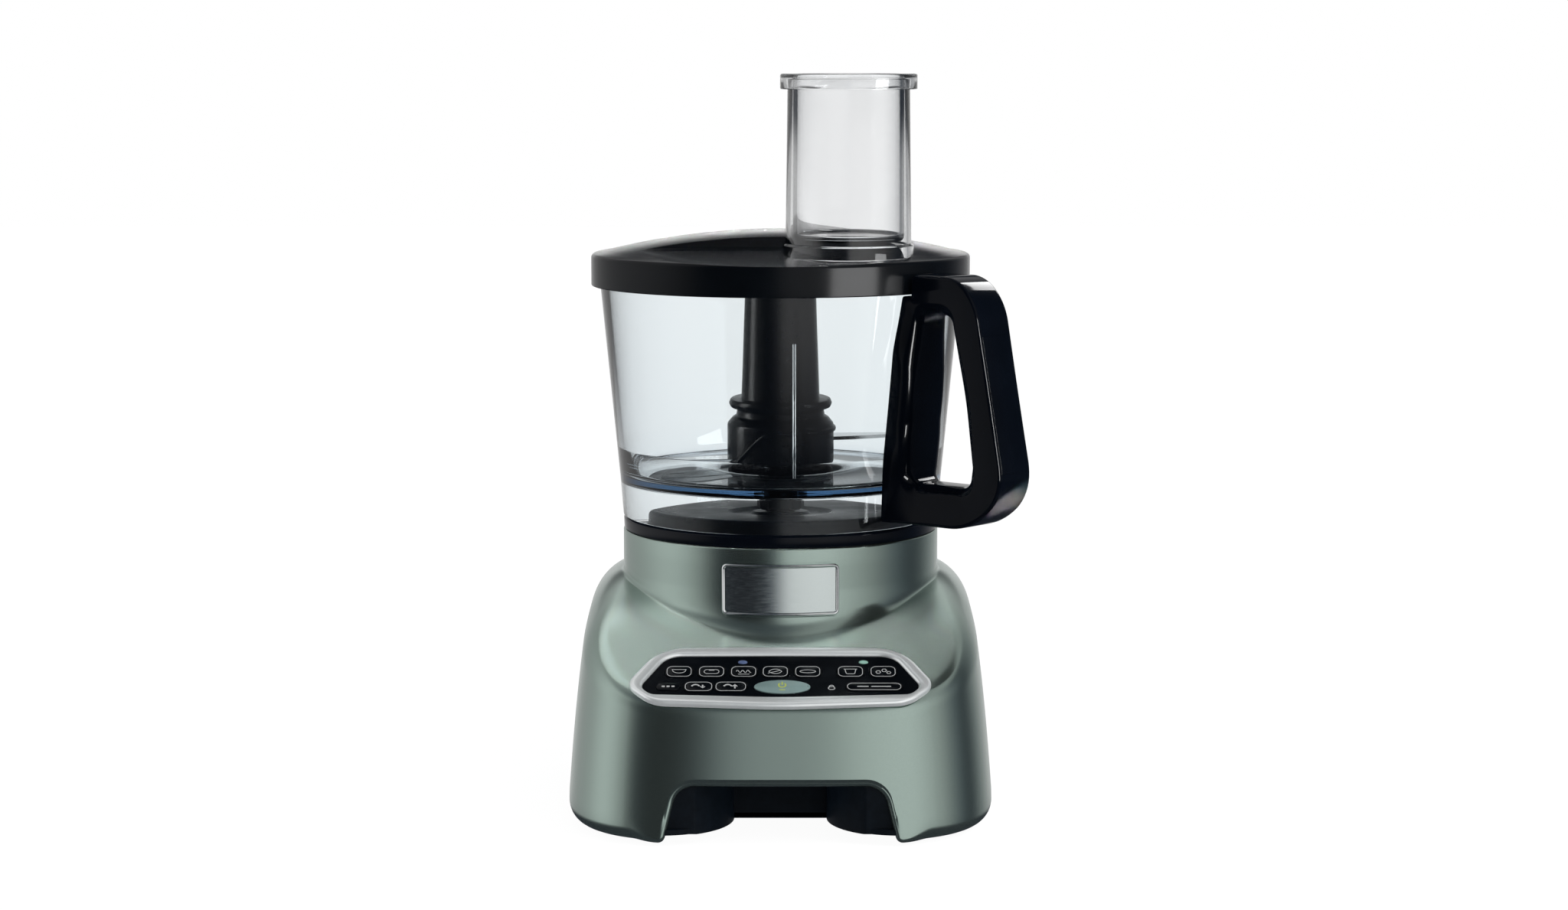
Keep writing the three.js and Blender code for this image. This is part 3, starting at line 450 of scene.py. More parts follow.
M = dict(
    pewter=pewter(),
    gloss=gloss_black(),
    seat=gloss_black("seat_gloss", (0.002, 0.003, 0.0055), 0.09),
    grip=gloss_black("grip_gloss", (0.0016, 0.0026, 0.005), 0.07, 0.06),
    lid=gloss_black("lid_gloss", (0.0022, 0.003, 0.0042), 0.15),
    satin=satin_black(),
    hub=satin_black("hub_plastic", (0.0015, 0.0022, 0.0035), 0.22, 0.1),
    inner=satin_black("black_liner", (0.003, 0.0055, 0.009), 0.5, 0.15),
    clear=clear_plastic("clear_plastic", (0.976, 0.996, 0.994), 20, 0.35, 0.02),
    tube=clear_plastic("clear_tube", (1.0, 1.0, 1.0), 4, 0.25, 0.01),
    chrome=metal("chrome", (0.9, 0.92, 0.92), 0.15, scale=300, spread=0.02, bump=0.015),
    frame=plain("satin_chrome", (0.93, 0.96, 0.96), 0.22, 0.02, 300, 0.02, 0.58),
    brushed=metal("brushed_plate", (0.66, 0.72, 0.71), 0.2, (0.004, 1, 1), 1500, 0.07, 0.01),
    steel=metal("steel", (0.62, 0.63, 0.64), 0.2, scale=700),
    blade=metal("blade_steel", (0.75, 0.77, 0.78), 0.12, (1, 0.05, 1), 1400, 0.08),
    alloy=metal("frame_alloy", (0.5, 0.51, 0.52), 0.42, scale=500, spread=0.12, bump=0.3),
    copper=metal("copper_winding", (0.55, 0.25, 0.12), 0.35, (1, 1, 9), 420, 0.25, 0.6),
    bronze=metal("bronze", (0.5, 0.33, 0.13), 0.4, scale=800, spread=0.15, bump=0.2),
    rubber=plain("rubber", (0.014, 0.014, 0.015), 0.78, 0.2, 500, 0.3),
    board=plain("board_green", (0.02, 0.1, 0.045), 0.45, 0.25, 200, 0.2),
    silver=plain("silver_key", (0.25, 0.36, 0.35), 0.28, 0.05, 160, 0.03, 0.15),
    print=plain("white_print", (0.55, 0.56, 0.56), 0.5, 0.06, 600, 0.05),
    yellow=plain("yellow_print", (0.55, 0.62, 0.1), 0.5, 0.06, 600, 0.05),
    blue=plain("lens_blue", (0.12, 0.17, 0.33), 0.2, 0.1, 400, 0.05),
    green=plain("lens_green", (0.34, 0.6, 0.5), 0.2, 0.1, 400, 0.05),
)

# ---------- motor base casing


def top_face(y):
    """Height of the casing's top face at depth y: flat, then a long arc, then the panel's slope."""
    y = np.asarray(y, float)
    top = BASE["shoulder"] - BASE["top_arc"]
    arc = top + np.sqrt(BASE["top_arc"] ** 2 - np.clip(y, BASE["slope_start"], 0) ** 2)
    return arc + math.tan(BASE["slope"]) * np.minimum(0, y - BASE["slope_start"])


def plan_halves(z, by=0.0):
    """The base's half width and half depth at a height, drawn in by a distance."""
    rise = z - BASE["bottom"]
    half_width = BASE["half_width"] - BASE["side_draft"] * rise
    half_depth = BASE["half_depth"] - BASE["front_draft"] * rise
    return half_width - by, half_depth - by


def plan_radius(turn, z, by=0.0):
    """Distance from the drive axis to the base's side in a direction."""
    a, b = plan_halves(z, by)
    c, s = np.cos(turn), np.sin(turn)
    near, far = 20.0 + 0 * c, 220.0 + 0 * c
    for _ in range(34):
        mid = (near + far) / 2
        out = (mid * c / a) ** 4 + ((mid * s - BASE["centre_y"]) / b) ** 4 > 1
        near, far = np.where(out, near, mid), np.where(out, mid, far)
    return near


def plan_point(angle, z, by=0.0):
    """A point of the base's side in a direction from the plan's own centre."""
    a, b = plan_halves(z, by)
    c, s = math.cos(angle), math.sin(angle)
    r = (abs(c / a) ** 4 + abs(s / b) ** 4) ** -0.25
    return np.array([r * c, BASE["centre_y"] + r * s, z])


def bell_radius(z):
    """The radius of the collar's bell, which flares towards its foot."""
    return COLLAR["radius"] + COLLAR["bell_gain"] * np.maximum(0, COLLAR["bell_start"] - z) ** 2


def polar(r, angle, z):
    """Points by radius, angle and height."""
    return np.stack(np.broadcast_arrays(r * np.cos(angle), r * np.sin(angle), z), -1)


def smooth(t):
    """An even step from 0 to 1."""
    t = np.clip(t, 0, 1)
    return t * t * (3 - 2 * t)


def along(line, spots):
    """Points of an open line at shares of its length."""
    steps = np.r_[0, np.cumsum(np.linalg.norm(np.diff(line, axis=0), axis=1))]
    return np.stack([np.interp(np.asarray(spots) * steps[-1], steps, line[:, k]) for k in (0, 1)], 1)


def casing_columns():
    """Each column's direction, and its bottom edge's place, inward way and rounding."""
    reach, bottom, foot = ARCH["reach"], BASE["bottom"], ARCH["foot"]
    half = [(-reach, bottom, 0), (-foot, bottom, ARCH["toe"])]
    half.append((-ARCH["corner"], ARCH["top"], ARCH["round"]))
    path = corners(half + [(-x, z, r) for x, z, r in half[::-1]], 14)
    count = 260
    edge = along(path, np.linspace(0, 1, count))
    way = np.gradient(edge, axis=0)
    way /= np.linalg.norm(way, axis=1)[:, None]
    inward = np.stack([-way[:, 1], way[:, 0]], 1)
    a, b = plan_halves(bottom)
    swing = math.atan2(reach, b * (1 - (reach / a) ** 4) ** 0.25 - BASE["centre_y"])
    front = np.linspace(-swing, swing, count)
    rest = np.arange(swing, 2 * math.pi - swing, math.radians(1.1))[1:]
    turn = np.r_[front, rest] - math.pi / 2
    spare = len(rest)
    edge = np.r_[edge, np.c_[np.zeros(spare), np.full(spare, bottom)]]
    inward = np.r_[inward, np.c_[np.zeros(spare), np.ones(spare)]]
    wide = np.r_[smooth((np.abs(edge[:count, 0]) - foot - 3.5) / 17), np.ones(spare)]
    return turn, edge, inward, ARCH["edge"] + (BASE["round"] - ARCH["edge"]) * wide, wide, count


def swelling(share):
    """How far the base's side bulges at a share of its height."""
    return BASE["swell"] * np.sin(math.pi * np.clip(share, 0, 1))


def casing_side(columns, step, depth, z_top=None, share=0.0):
    """One row of the side: step is the way up from the edge, or share runs from the rounding to z_top."""
    turn, edge, inward, _, wide, count = columns
    low = edge[:, 1] + inward[:, 1] * step
    z = low if z_top is None else low + (z_top - low) * share
    swell = 0.0 if z_top is None else -swelling((z - low.min()) / SWELL_HEIGHT)
    r = plan_radius(turn, z, depth + swell)
    at = polar(r, turn, z)
    x = edge[:, 0] + inward[:, 0] * step
    x *= 1 + (r / plan_radius(turn, BASE["bottom"]) - 1) * wide
    lean = 1.0 if z_top is None else 1 - smooth((z - low) / (ARCH["calm"] - low))
    x = (x * lean + at[:, 0] * (1 - lean))[:count]
    a, b = plan_halves(z[:count], (depth + swell + 0 * z)[:count])
    at[:count, 0] = x
    at[:count, 1] = BASE["centre_y"] - b * (1 - (x / a) ** 4) ** 0.25
    return at


def shoulders(turn):
    """Where each column's side would meet the top face, its fillet, and where that fillet starts."""
    z = BASE["shoulder"] + 0 * turn
    for _ in range(14):
        z = top_face(plan_radius(turn, z) * np.sin(turn))
    r = plan_radius(turn, z)
    ahead = smooth((-r * np.sin(turn) - 55) / 90)
    fillet = 18 - 13 * ahead
    start = z - fillet
    side = plan_radius(turn, start, -swelling(start / SWELL_HEIGHT))
    return z, r, ahead, fillet, start, side


def top_section(turn, z, r, ahead, fillet, start, side):
    """A radial section over the shoulder and the top face and up the bell, as (radius, z)."""
    rows, bell_rows = 12, 16
    s = math.sin(turn)
    inner = r - fillet
    knots = [np.array([side, start]), np.array([r, z]), np.array([inner, float(top_face(inner * s))])]
    t = np.linspace(0, 1, 25)[:, None]
    w = [(1 - t) ** 2, 1.41 * t * (1 - t), t**2]
    curve = sum(a * b for a, b in zip(w, knots)) / sum(w)
    if inner > 80:
        more = np.linspace(inner, 80, 60)[1:]
        curve = np.r_[curve, np.c_[more, top_face(more * s)]]

    def bell(height):
        return COLLAR["radius"] + (bell_radius(height) - COLLAR["radius"]) * float(smooth(1 - 2 * s))

    gap = curve[:, 0] - bell(curve[:, 1])
    k = int(np.argmax(gap < 0))
    meet = curve[k - 1] + (curve[k] - curve[k - 1]) * gap[k - 1] / (gap[k - 1] - gap[k])
    line = np.r_[curve[:k], meet[None]]
    length = np.linalg.norm(np.diff(line, axis=0), axis=1).sum()
    soft = 2.0 + 6.0 * ahead
    end = 1 - soft / length
    split = min(1.55 * fillet / length, 0.72 * end)
    outer = along(line, np.r_[np.linspace(0, split, rows + 1)[1:], np.linspace(split, end, rows + 1)[1:]])
    heights = np.linspace(meet[1], COLLAR["bell_start"] + 3, 80)
    flare = np.c_[bell(heights), heights]
    tall = np.linalg.norm(np.diff(flare, axis=0), axis=1).sum()
    upper = along(flare, np.linspace(min(0.5, soft / tall), 1, bell_rows))
    t = np.linspace(0, 1, 9)[1:-1, None]
    valley = (1 - t) ** 2 * outer[-1] + 2 * t * (1 - t) * meet + t**2 * upper[0]
    return np.r_[outer, valley, upper], meet


def mirrored(half):
    """A closed outline, alike on both sides of v, from the corners of its right half."""
    return corners(half + [(-u, v, r) for u, v, r in half[-2:0:-1]], 10)


BEZEL = mirrored([(0, -27.0, 300), (68, -23.5, 18), (82.8, -7.8, 10), (64.9, 25, 27), (0, 25.6, 0)])
WINDOW_EDGE = mirrored([(0, -18.3, 300), (69.5, -15.8, 6), (75.0, -9, 6.5), (60.9, 18, 13), (0, 18.4, 0)])

PANEL = Matrix.Translation((0, PANEL_Y, float(top_face(PANEL_Y)))) @ Matrix.Rotation(BASE["slope"], 4, "X")


def casing():
    """The thin casing: up the side, over the shoulder and the collar, and back down inside."""
    columns = casing_columns()
    turn, across = columns[0], columns[3]
    facts = shoulders(turn)
    tops = [top_section(*row) for row in zip(turn, *facts)]
    start = facts[4]
    rows = []
    for k in range(10):
        swing = math.pi / 2 * k / 9
        rows.append(casing_side(columns, across * (1 - math.cos(swing)), across * (1 - math.sin(swing))))
    rows += [casing_side(columns, across, 0.0, start, share) for share in np.linspace(0, 1, 22)[1:]]

    profile = np.array([t[0] for t in tops])
    rows += [polar(profile[:, k, 0], turn, profile[:, k, 1]) for k in range(profile.shape[1])]
    rim = corners([(90, 138, 0), (90, COLLAR["top"], 1.2), (87, COLLAR["top"], 0.8), (87, 138.5, 0)], 4)
    ledge = [(80, 138.5), (80, 135.5), (86.9, 135.4), (86.9, 125)]
    rows += [polar(r, turn, z) for r, z in [*rim, *ledge]]
    meet = np.array([t[1] for t in tops])
    rows.append(polar(meet[:, 0] - 4.4, turn, meet[:, 1] - 3.4))
    rows.append(polar(plan_radius(turn, start - 2, 4.0), turn, start - 2))
    shares = (0.8, 0.6, 0.4, 0.2, 0.0)
    rows += [casing_side(columns, across + 0.8, 3.2, start - 2, share) for share in shares]
    rows.append(casing_side(columns, 0.0, across + 1.0))
    points, faces = skin(np.array(rows), loop=True)
    shell = make("casing", points, faces, M["pewter"], "base", ["base_shell"], "pewter_paint", 30)
    rear = plan_point(math.pi / 2, 30)
    tilt = Matrix.Translation(rear.tolist()) @ Matrix.Rotation(math.atan(0.13) - math.pi / 2, 4, "X")
    gland = placed(spin([(0, -14), (6.3, -14), (6.3, 14), (0, 14)], 32), tilt)
    panel = placed(slab(inset(BEZEL, 3.2), [(0, -14), (0, 14)]), PANEL)
    return carve(shell, [panel, gland], 30)


casing()


def hollow_side(wide, mouth, steps, grow=0.0):
    """The left half of the hollow's plan, from its mouth to the middle of its back wall."""
    a = np.linspace(0, math.pi / 2, steps)
    x = -(wide + grow) + (wide - HOLLOW["neck"]) * np.sin(a)
    y = HOLLOW["back"] + grow + (mouth - HOLLOW["back"]) * np.cos(a)
    return np.stack([x, y], 1)


def tray():
    """The bottom cover with its vents, cut away behind the arch."""
    edge = np.array([plan_point(a, 2, 9.6)[:2] for a in full_turn(180)])
    wide = HOLLOW["wide"] + 2
    left = hollow_side(wide, -160, 20)
    hollow = np.concatenate([left * (-1, 1), left[::-1]])
    keep = edge[~((edge[:, 1] < -140) & (np.abs(edge[:, 0]) < wide + 1))]
    bearing = np.arctan2(keep[:, 1] - BASE["centre_y"], keep[:, 0])
    order = np.argsort(bearing)
    keep, bearing = keep[order], bearing[order]
    split = np.searchsorted(bearing, -math.pi / 2)
    outline = np.concatenate([keep[:split], hollow[::-1], keep[split:]])
    vents = [pill(0, 26 + 7 * i, 52, 3.4) for i in range(9)]
    return slab(outline, [(0.6, 6), (0, 6.6), (0, 9)], vents)


def liner():
    """The hollow behind the arch: curved side walls, a back wall and a roof."""
    rim = HOLLOW["rim"]

    def curve(grow):
        side = [(x, y) for x, y in hollow_side(HOLLOW["wide"], -161, 40, grow) if y > rim + grow]
        return side + [(-x, y) for x, y in side[::-1]]

    inner, outer = curve(0), curve(2.2)
    start = inner[0][0]
    hollow = [(-70, -180), (-70, rim), (start - 1, rim), *inner, (1 - start, rim), (70, rim), (70, -180)]
    outer = [(-67, rim), (-67, rim + 2.2), *outer, (67, rim + 2.2), (67, rim)]
    roof = ARCH["top"] + 0.6
    block = slab(np.array(outer), [(0.5, 6), (0, 6.5), (0, roof + 1.2), (0.8, roof + 2)])
    space = slab(np.array(hollow), [(0, -4), (0, roof - 2.2), (0.7, roof - 0.6), (2.4, roof)])
    piece = make("arch_liner", *block, M["inner"], "base", [], "black_matte")
    return carve(piece, [space], 35)


make("bottom_tray", *tray(), M["inner"], "base", ["under_tray"], "black_matte")
liner()

FEET = dict(front_left=(-80, -128), front_right=(80, -128), rear_left=(-72, 78), rear_right=(72, 78))
FOOT = [(0, 0.8), (4.6, 0.8, 0.3), (5.2, 0, 0.3), (8.8, 0, 0.8), (10, 5.7, 0.4), (0, 5.7)]
for corner, at in FEET.items():
    foot = turned(FOOT, 4, 48, at)
    make(f"rubber_foot_{corner}", *foot, M["rubber"], "base", [f"foot_{corner}"], "rubber")


# ---------- badge


def on_collar(part, radius):
    """A flat part in (arc length, height, depth) bent round the collar; depth is outwards from radius."""
    points, faces = part
    return polar(radius + points[:, 2], points[:, 0] / radius - math.pi / 2, points[:, 1]), faces


def rounded_box(u0, u1, v0, v1, radius):
    """A rounded rectangle with points along its long sides, so that it bends smoothly."""
    arcs = corners([(u0, v0, radius), (u1, v0, radius), (u1, v1, radius), (u0, v1, radius)], 6)
    run = np.linspace(u0 + radius, u1 - radius, 24)[1:-1]
    lower = [(u, v0) for u in run]
    upper = [(u, v1) for u in run[::-1]]
    return np.concatenate([arcs[:7], lower, arcs[7:21], upper, arcs[21:]])


BADGE = dict(low=112.2, top=140.9, half=90 * math.asin(32.5 / 95.4), rim=1.9, gap=2.0)


def badge_rim():
    """The raised frame round the badge's plate."""
    half, low, top, rim = (BADGE[key] for key in ("half", "low", "top", "rim"))
    outside = rounded_box(-half, half, low, top, 3)
    inside = rounded_box(-half + rim, half - rim, low + rim, top - rim, 1.4)
    return slab(outside, [(0, 0.1), (0, 4.2), (0.35, 5.0), (0.8, 5.3)], [inside])


def badge_face():
    """The blank brushed plate, slightly crowned, as a grid of quads with its own thickness."""
    half, gap = BADGE["half"], BADGE["gap"]
    us = np.linspace(-half + gap, half - gap, 40)
    vs = np.linspace(BADGE["low"] + gap, BADGE["top"] - gap, 9)
    points = np.array([[(u, v, depth) for v in vs for u in us] for depth in (4.35, 2.6)]).reshape(-1, 3)
    wide, tall = len(us), len(vs)
    back = wide * tall
    faces = []
    for start, way in ((0, 1), (back, -1)):
        for a in (start + j * wide + i for j in range(tall - 1) for i in range(wide - 1)):
            faces.append((a, a + 1, a + wide + 1, a + wide)[::way])
    rim = list(range(wide)) + [j * wide + wide - 1 for j in range(1, tall)]
    rim += [(tall - 1) * wide + i for i in range(wide - 2, -1, -1)]
    rim += [j * wide for j in range(tall - 2, 0, -1)]
    faces += [(rim[k - 1] + back, rim[k] + back, rim[k], rim[k - 1]) for k in range(len(rim))]
    return points, faces


for name, part, old, finish, slot in (
    ("badge_rim", badge_rim(), "badge_frame", "chrome", "chrome"),
    ("badge_face", badge_face(), "badge_plate", "brushed", "brushed_plate"),
):
    make(name, *on_collar(part, COLLAR["radius"]), M[finish], "base", [old], slot)

# ---------- key panel

# each key's middle, width and height on the panel
TOP_ROW = dict(zip((f"program_key_{i}" for i in range(1, 6)), (-54.3, -36.9, -19.7, -2.7, 14.7)))
TOP_ROW |= {"blend_key_1": 37.6, "blend_key_2": 55.1}
KEYS = {name: (u, 4.2, 14.4, 10.2) for name, u in TOP_ROW.items()} | {
    "pulse_key": (-59.8, -9, 12.4, 6.6),
    "speed_down_key": (-43.6, -9, 15.6, 9),
    "speed_up_key": (-26.4, -9, 17.2, 9),
    "start_key": (1, -9, 30, 11.6),
    "lock_key": (50, -9, 30, 7.2),
}
LENSES = {"blue_lens": (-20.3, 13.1, 5, 3), "green_lens": (44.7, 13.1, 5, 3)}


def key_shape(name, grow=0.0):
    """A key's or lens's outline on the panel."""
    u, v, w, h = (KEYS | LENSES)[name]
    w, h = w + 2 * grow, h + 2 * grow
    if name == "start_key" or name in LENSES:
        return oval(u, v, w, h)
    radius = min(h / 2 - 0.1, 3.7)
    spots = [(u + i * w / 2, v + j * h / 2, radius) for i, j in ((-1, -1), (1, -1), (1, 1), (-1, 1))]
    return corners(spots, 8)


def bezel():
    """A raised satin frame: its section rises from the casing, crowns, and drops to the plate."""
    section = [(0.0, -1.0), (0.0, 0.5), (0.02, 1.0), (0.06, 1.5), (0.13, 1.85), (0.24, 2.05), (0.42, 2.15)]
    section += [(0.62, 2.1), (0.8, 1.9), (0.9, 1.6), (0.96, 1.2), (0.99, 0.85), (1.0, 0.5), (1.0, -2.6)]
    section += [(0.6, -2.6), (0.45, -1.0)]
    rings = [np.c_[BEZEL + (WINDOW_EDGE - BEZEL) * s, np.full(len(BEZEL), n)] for s, n in section]
    return placed(skin(rings, loop=True), PANEL)


make("panel_frame", *bezel(), M["frame"], "base", ["panel_bezel"], "chrome", 50)
holes = [key_shape(name, 0.3) for name in KEYS | LENSES]
plate = slab(inset(WINDOW_EDGE, 0.15), [(0, -2.2), (0, 0.45), (0.2, 0.6)], holes)
make("panel_glass", *placed(plate, PANEL), M["gloss"], "base", ["panel_plate"], "black_gloss", 30)


def stroke(points, width=0.38, closed=False):
    """Print on a key's top."""
    return ribbon(points, width, 0.99, 1.06, closed)


def arc_line(u, v, r, start, end, steps=12, squash=1.0):
    """An arc about (u, v) between two angles in degrees."""
    turn = np.radians(np.linspace(start, end, steps))
    return np.stack([u + r * np.cos(turn), v + r * squash * np.sin(turn)], 1)


def dial_and_arrow(rise):
    """An arc beside an arrow that points up or down."""
    shaft = [(2.2, -rise), (2.2, rise)]
    head = [(1, 0), (2.2, rise), (3.4, 0)]
    return [(arc_line(-1.6, -0.6, 2.2, 20, 160, 10), 0.9), (shaft, 0.8), (head, 0.6)]


WAVE = [(k * 0.4 - 4, 1.1 * math.sin(k * 0.9)) for k in range(21)]
CUP = corners([(-3, 2, 0), (-2.2, -2.2, 1), (2.2, -2.2, 1), (3, 2, 0)], 4)
LUMPS = [(-2.6, -0.6, 2.6), (0.6, 0.9, 2.6), (3, -1.1, 2.2)]
POWER = [(arc_line(0, 1.2, 1.9, 130, 410, 18), 0.75), ([(0, 1.4), (0, 3.9)], 0.75)]

# a small generic sign for each key, as strokes about its middle: points, width, closed
SIGNS = dict(
    program_key_1=[(arc_line(0, 1.2, 3.6, 180, 360, 14, 0.75),), ([(-4, 1.6), (4, 1.6)],)],
    program_key_2=[(pill(0, -0.2, 8, 3.6), 0.38, True), ([(-1.5, 0.8), (1.5, 0.8)],)],
    program_key_3=[(WAVE,), ([(-3, -2.4), (3, -2.4)],)],
    program_key_4=[(arc_line(0, -2, 4, 30, 150),), (arc_line(0, 2, 4, 210, 330),), ([(-4, -1.6), (3, 1)],)],
    program_key_5=[(oval(0, 0, 8.4, 2.6, 28), 0.38, True)],
    blend_key_1=[(CUP,), ([(-3.6, 2), (3.6, 2)],)],
    blend_key_2=[(oval(u, v, size, size, 6), 0.4, True) for u, v, size in LUMPS],
    pulse_key=[([(k - 0.8, 0), (k + 0.8, 0)], 1.2) for k in (-2.6, 0, 2.6)],
    speed_down_key=dial_and_arrow(-1.3),
    speed_up_key=dial_and_arrow(1.8),
    start_key=[*POWER, ([(-1.6, -2.9), (1.6, -2.9)], 0.6)],
    lock_key=[([(-9, 0), (-3, 0)], 0.7), ([(-1.5, 0), (9, 0)], 0.7)],
)

for name, (u, v, w, h) in KEYS.items():
    start = name == "start_key"
    body = slab(key_shape(name), [(0, -3.6), (0, 0.75), (0.12, 0.9), (0.3, 1.0)])
    marks = [stroke(np.add(points, (u, v)), *rest) for points, *rest in SIGNS[name]]
    if not start and name != "pulse_key":
        marks.append(stroke(inset(key_shape(name), 0.75), 0.34, True))
    points, faces = together(body, *marks)
    index = [0] * len(body[1]) + [1] * (len(faces) - len(body[1]))
    finish = [M["silver"], M["yellow"]] if start else [M["gloss"], M["print"]]
    slot = "silver_key" if start else "black_gloss"
    make(f"{name}_cap", *placed((points, faces), PANEL), finish, name, [name], slot, 30, index)

for name in LENSES:
    body = slab(key_shape(name), [(0, -2.2), (0, 0.5), (0.25, 0.72), (0.7, 0.8)])
    colour = "blue" if name == "blue_lens" else "green"
    make(f"{name}_cap", *placed(body, PANEL), M[colour], "base", [name], f"lens_{colour}", 60)

block = ribbon(pill(27.3, -10, 3.4, 2.4), 0.5, 0.59, 0.66, True)
shackle = ribbon(arc_line(27.3, -8.7, 1.2, 0, 180, 10), 0.45, 0.59, 0.66)
make("panel_print", *placed(together(block, shackle), PANEL), M["print"], "base", slot="black_gloss")

# ---------- bowl seat and drum

SEAT = [(76, 149, 0.4), (89.6, 149, 0.5), (89.8, 154.8, 1.2), (88.4, 156, 0.8), (76, 156, 0.6)]
make("seat_band", *turned(SEAT), M["seat"], "base", ["seat_ring"], "black_gloss")


def drum():
    """The drum inside the bowl's foot, with its drive boss."""
    profile = [
        (8.4, 122, 0), (15, 122, 0.8), (15, 160, 0.5), (72, 160, 0.5), (72, 138.9, 0),
        (86, 138.9, 0.4), (86, 141.8, 0.5), (75, 141.8, 0.6), (75, 163, 2.6), (30, 163, 1.5),
        (27, 161.6, 1.5), (17, 161.6, 1), (15.5, 163, 0.6), (8.4, 163, 0.4), (8.4, 152, 0),
        (11.2, 152, 0), (11.2, 140, 0), (8.4, 140, 0),
    ]
    return turned(profile, 5)


make("drive_drum", *drum(), M["satin"], "base", ["turret"], "black_matte")

# ---------- bowl


def bowl_radius(z):
    """The outer radius of the bowl's flaring wall."""
    share = (z - BOWL["under"]) / (BOWL["rim"] - 1 - BOWL["under"])
    return BOWL["floor_radius"] + (BOWL["rim_radius"] - BOWL["floor_radius"]) * share


def bowl():
    """The bowl's section: its foot, outer wall, rim, inner wall, floor, chimney and underside."""
    wall, foot, foot_radius, under = (BOWL[key] for key in ("wall", "foot", "foot_radius", "under"))
    rim, rim_radius = BOWL["rim"], BOWL["rim_radius"]
    level, floor_radius = BOWL["floor"], BOWL["floor_radius"]
    chimney, inside, top = (BOWL[key] for key in ("chimney", "bore", "chimney_top"))
    profile = [
        (foot_radius - wall, foot, 0.5), (foot_radius, foot, 0.7), (floor_radius, under, 3),
        (rim_radius, rim - 1, 0.5), (rim_radius - 0.8, rim, 0.5), (rim_radius - wall, rim, 0.6),
        (floor_radius - wall + 1.0, 196, 8), (86.8, level, 4.5), (chimney, level, 1.2),
        (chimney, top, 0.8), (inside, top, 0.4), (inside, 173, 0.4), (chimney, 173, 0.5),
        (chimney, under, 1.0), (88.6, under, 1.2),
    ]
    return turned(profile, 5, 180)


make("bowl_shell", *bowl(), M["clear"], "bowl", ["bowl"], "clear_plastic", 30)


def bowl_rib():
    """The upright rib on the inside of the bowl's front wall."""
    rings = []
    for z in np.linspace(188, 262, 24):
        wall = bowl_radius(z) - BOWL["wall"]
        size = 2.4 if z > 245 else 1.1 + 1.3 * smooth((z - 225) / 20)
        middle = -wall + 0.3 * size
        rings.append([(7.4 + 0.9 * math.cos(a), middle + size * math.sin(a), z) for a in full_turn(14)])
    return skin(rings, cap=True)


make("bowl_rib", *bowl_rib(), M["clear"], "bowl", slot="clear_plastic")


def d_axis(rho, across, z):
    """A point in the handle's frame: radius, distance across, height."""
    sx, sy = math.sin(HANDLE_AZIMUTH), -math.cos(HANDLE_AZIMUTH)
    return np.stack([rho * sx - across * sy, rho * sy + across * sx, z], -1)


HANDLE_OUTER = [
    (89.5, 161, 1), (150, 162, 42), (174, 181, 27), (171.5, 199, 8), (154.5, 284, 33), (141, 298.5, 22),
    (109.2, 298.5, 3), (109.2, 286.6, 0.8), (103.2, 286.6, 0.8),
]
WINDOW = [(106.5, 184, 7), (149, 184.5, 9), (150.5, 199, 8), (136, 277, 9), (113.8, 277, 6)]
WINDOW_CENTRE = (128.0, 229.0)


def ray_hits(outline, centre, angles):
    """Where rays from centre meet a closed outline."""
    a = outline
    b = np.roll(outline, -1, 0)
    hits = []
    for angle in angles:
        d = np.array([math.cos(angle), math.sin(angle)])
        e = b - a
        w = a - centre
        den = d[0] * e[:, 1] - d[1] * e[:, 0]
        den = np.where(np.abs(den) < 1e-12, 1e-12, den)
        t = (w[:, 0] * e[:, 1] - w[:, 1] * e[:, 0]) / den
        s = (w[:, 0] * d[1] - w[:, 1] * d[0]) / den
        good = t[(s >= -1e-6) & (s <= 1 + 1e-6) & (t > 0)]
        hits.append(centre + d * good.max())
    return np.array(hits)


def handle():
    """The D handle: a section with a soft window side and a crisp outer face, carried round the window."""
    centre = np.array(WINDOW_CENTRE)
    inner = corners(WINDOW, 10)
    outer = corners(HANDLE_OUTER, 10)
    spots = np.concatenate([outer, inner]) - centre
    angles = np.unwrap(np.sort(np.arctan2(spots[:, 1], spots[:, 0])))
    even = np.linspace(-math.pi, math.pi, 240, endpoint=False)
    angles = np.unique(np.round(np.sort(np.concatenate([angles, even])), 4))
    keep = [angles[0]]
    for a in angles[1:]:
        if a - keep[-1] > 0.006:
            keep.append(a)
    outs, ins = ray_hits(outer, centre, keep), ray_hits(inner, centre, keep)
    rings = []
    for o, i, angle in zip(outs, ins, keep):
        length = np.linalg.norm(o - i)
        column = smooth((math.cos(angle - math.pi) - 0.25) / 0.5)
        half = GRIP_HALF + (COLUMN_HALF - GRIP_HALF) * column
        soft, crisp = min(7.5, length * 0.45), 2.0
        near = [(length, -half, crisp), (length, half, crisp)]
        shape = corners([(0, -half, soft), *near, (0, half, soft)], 9)
        way = (o - i) / length
        radius = i[0] + way[0] * shape[:, 0]
        z = i[1] + way[1] * shape[:, 0]
        share = (shape[:, 0] / length) ** 2 * column
        rho = radius - share * (radius - np.sqrt(np.maximum(radius**2 - shape[:, 1] ** 2, 1)))
        rings.append(d_axis(rho, shape[:, 1], z))
    return skin(rings, loop=True)


make("handle", *handle(), M["grip"], "bowl", ["handle_body"], "black_gloss", 40)


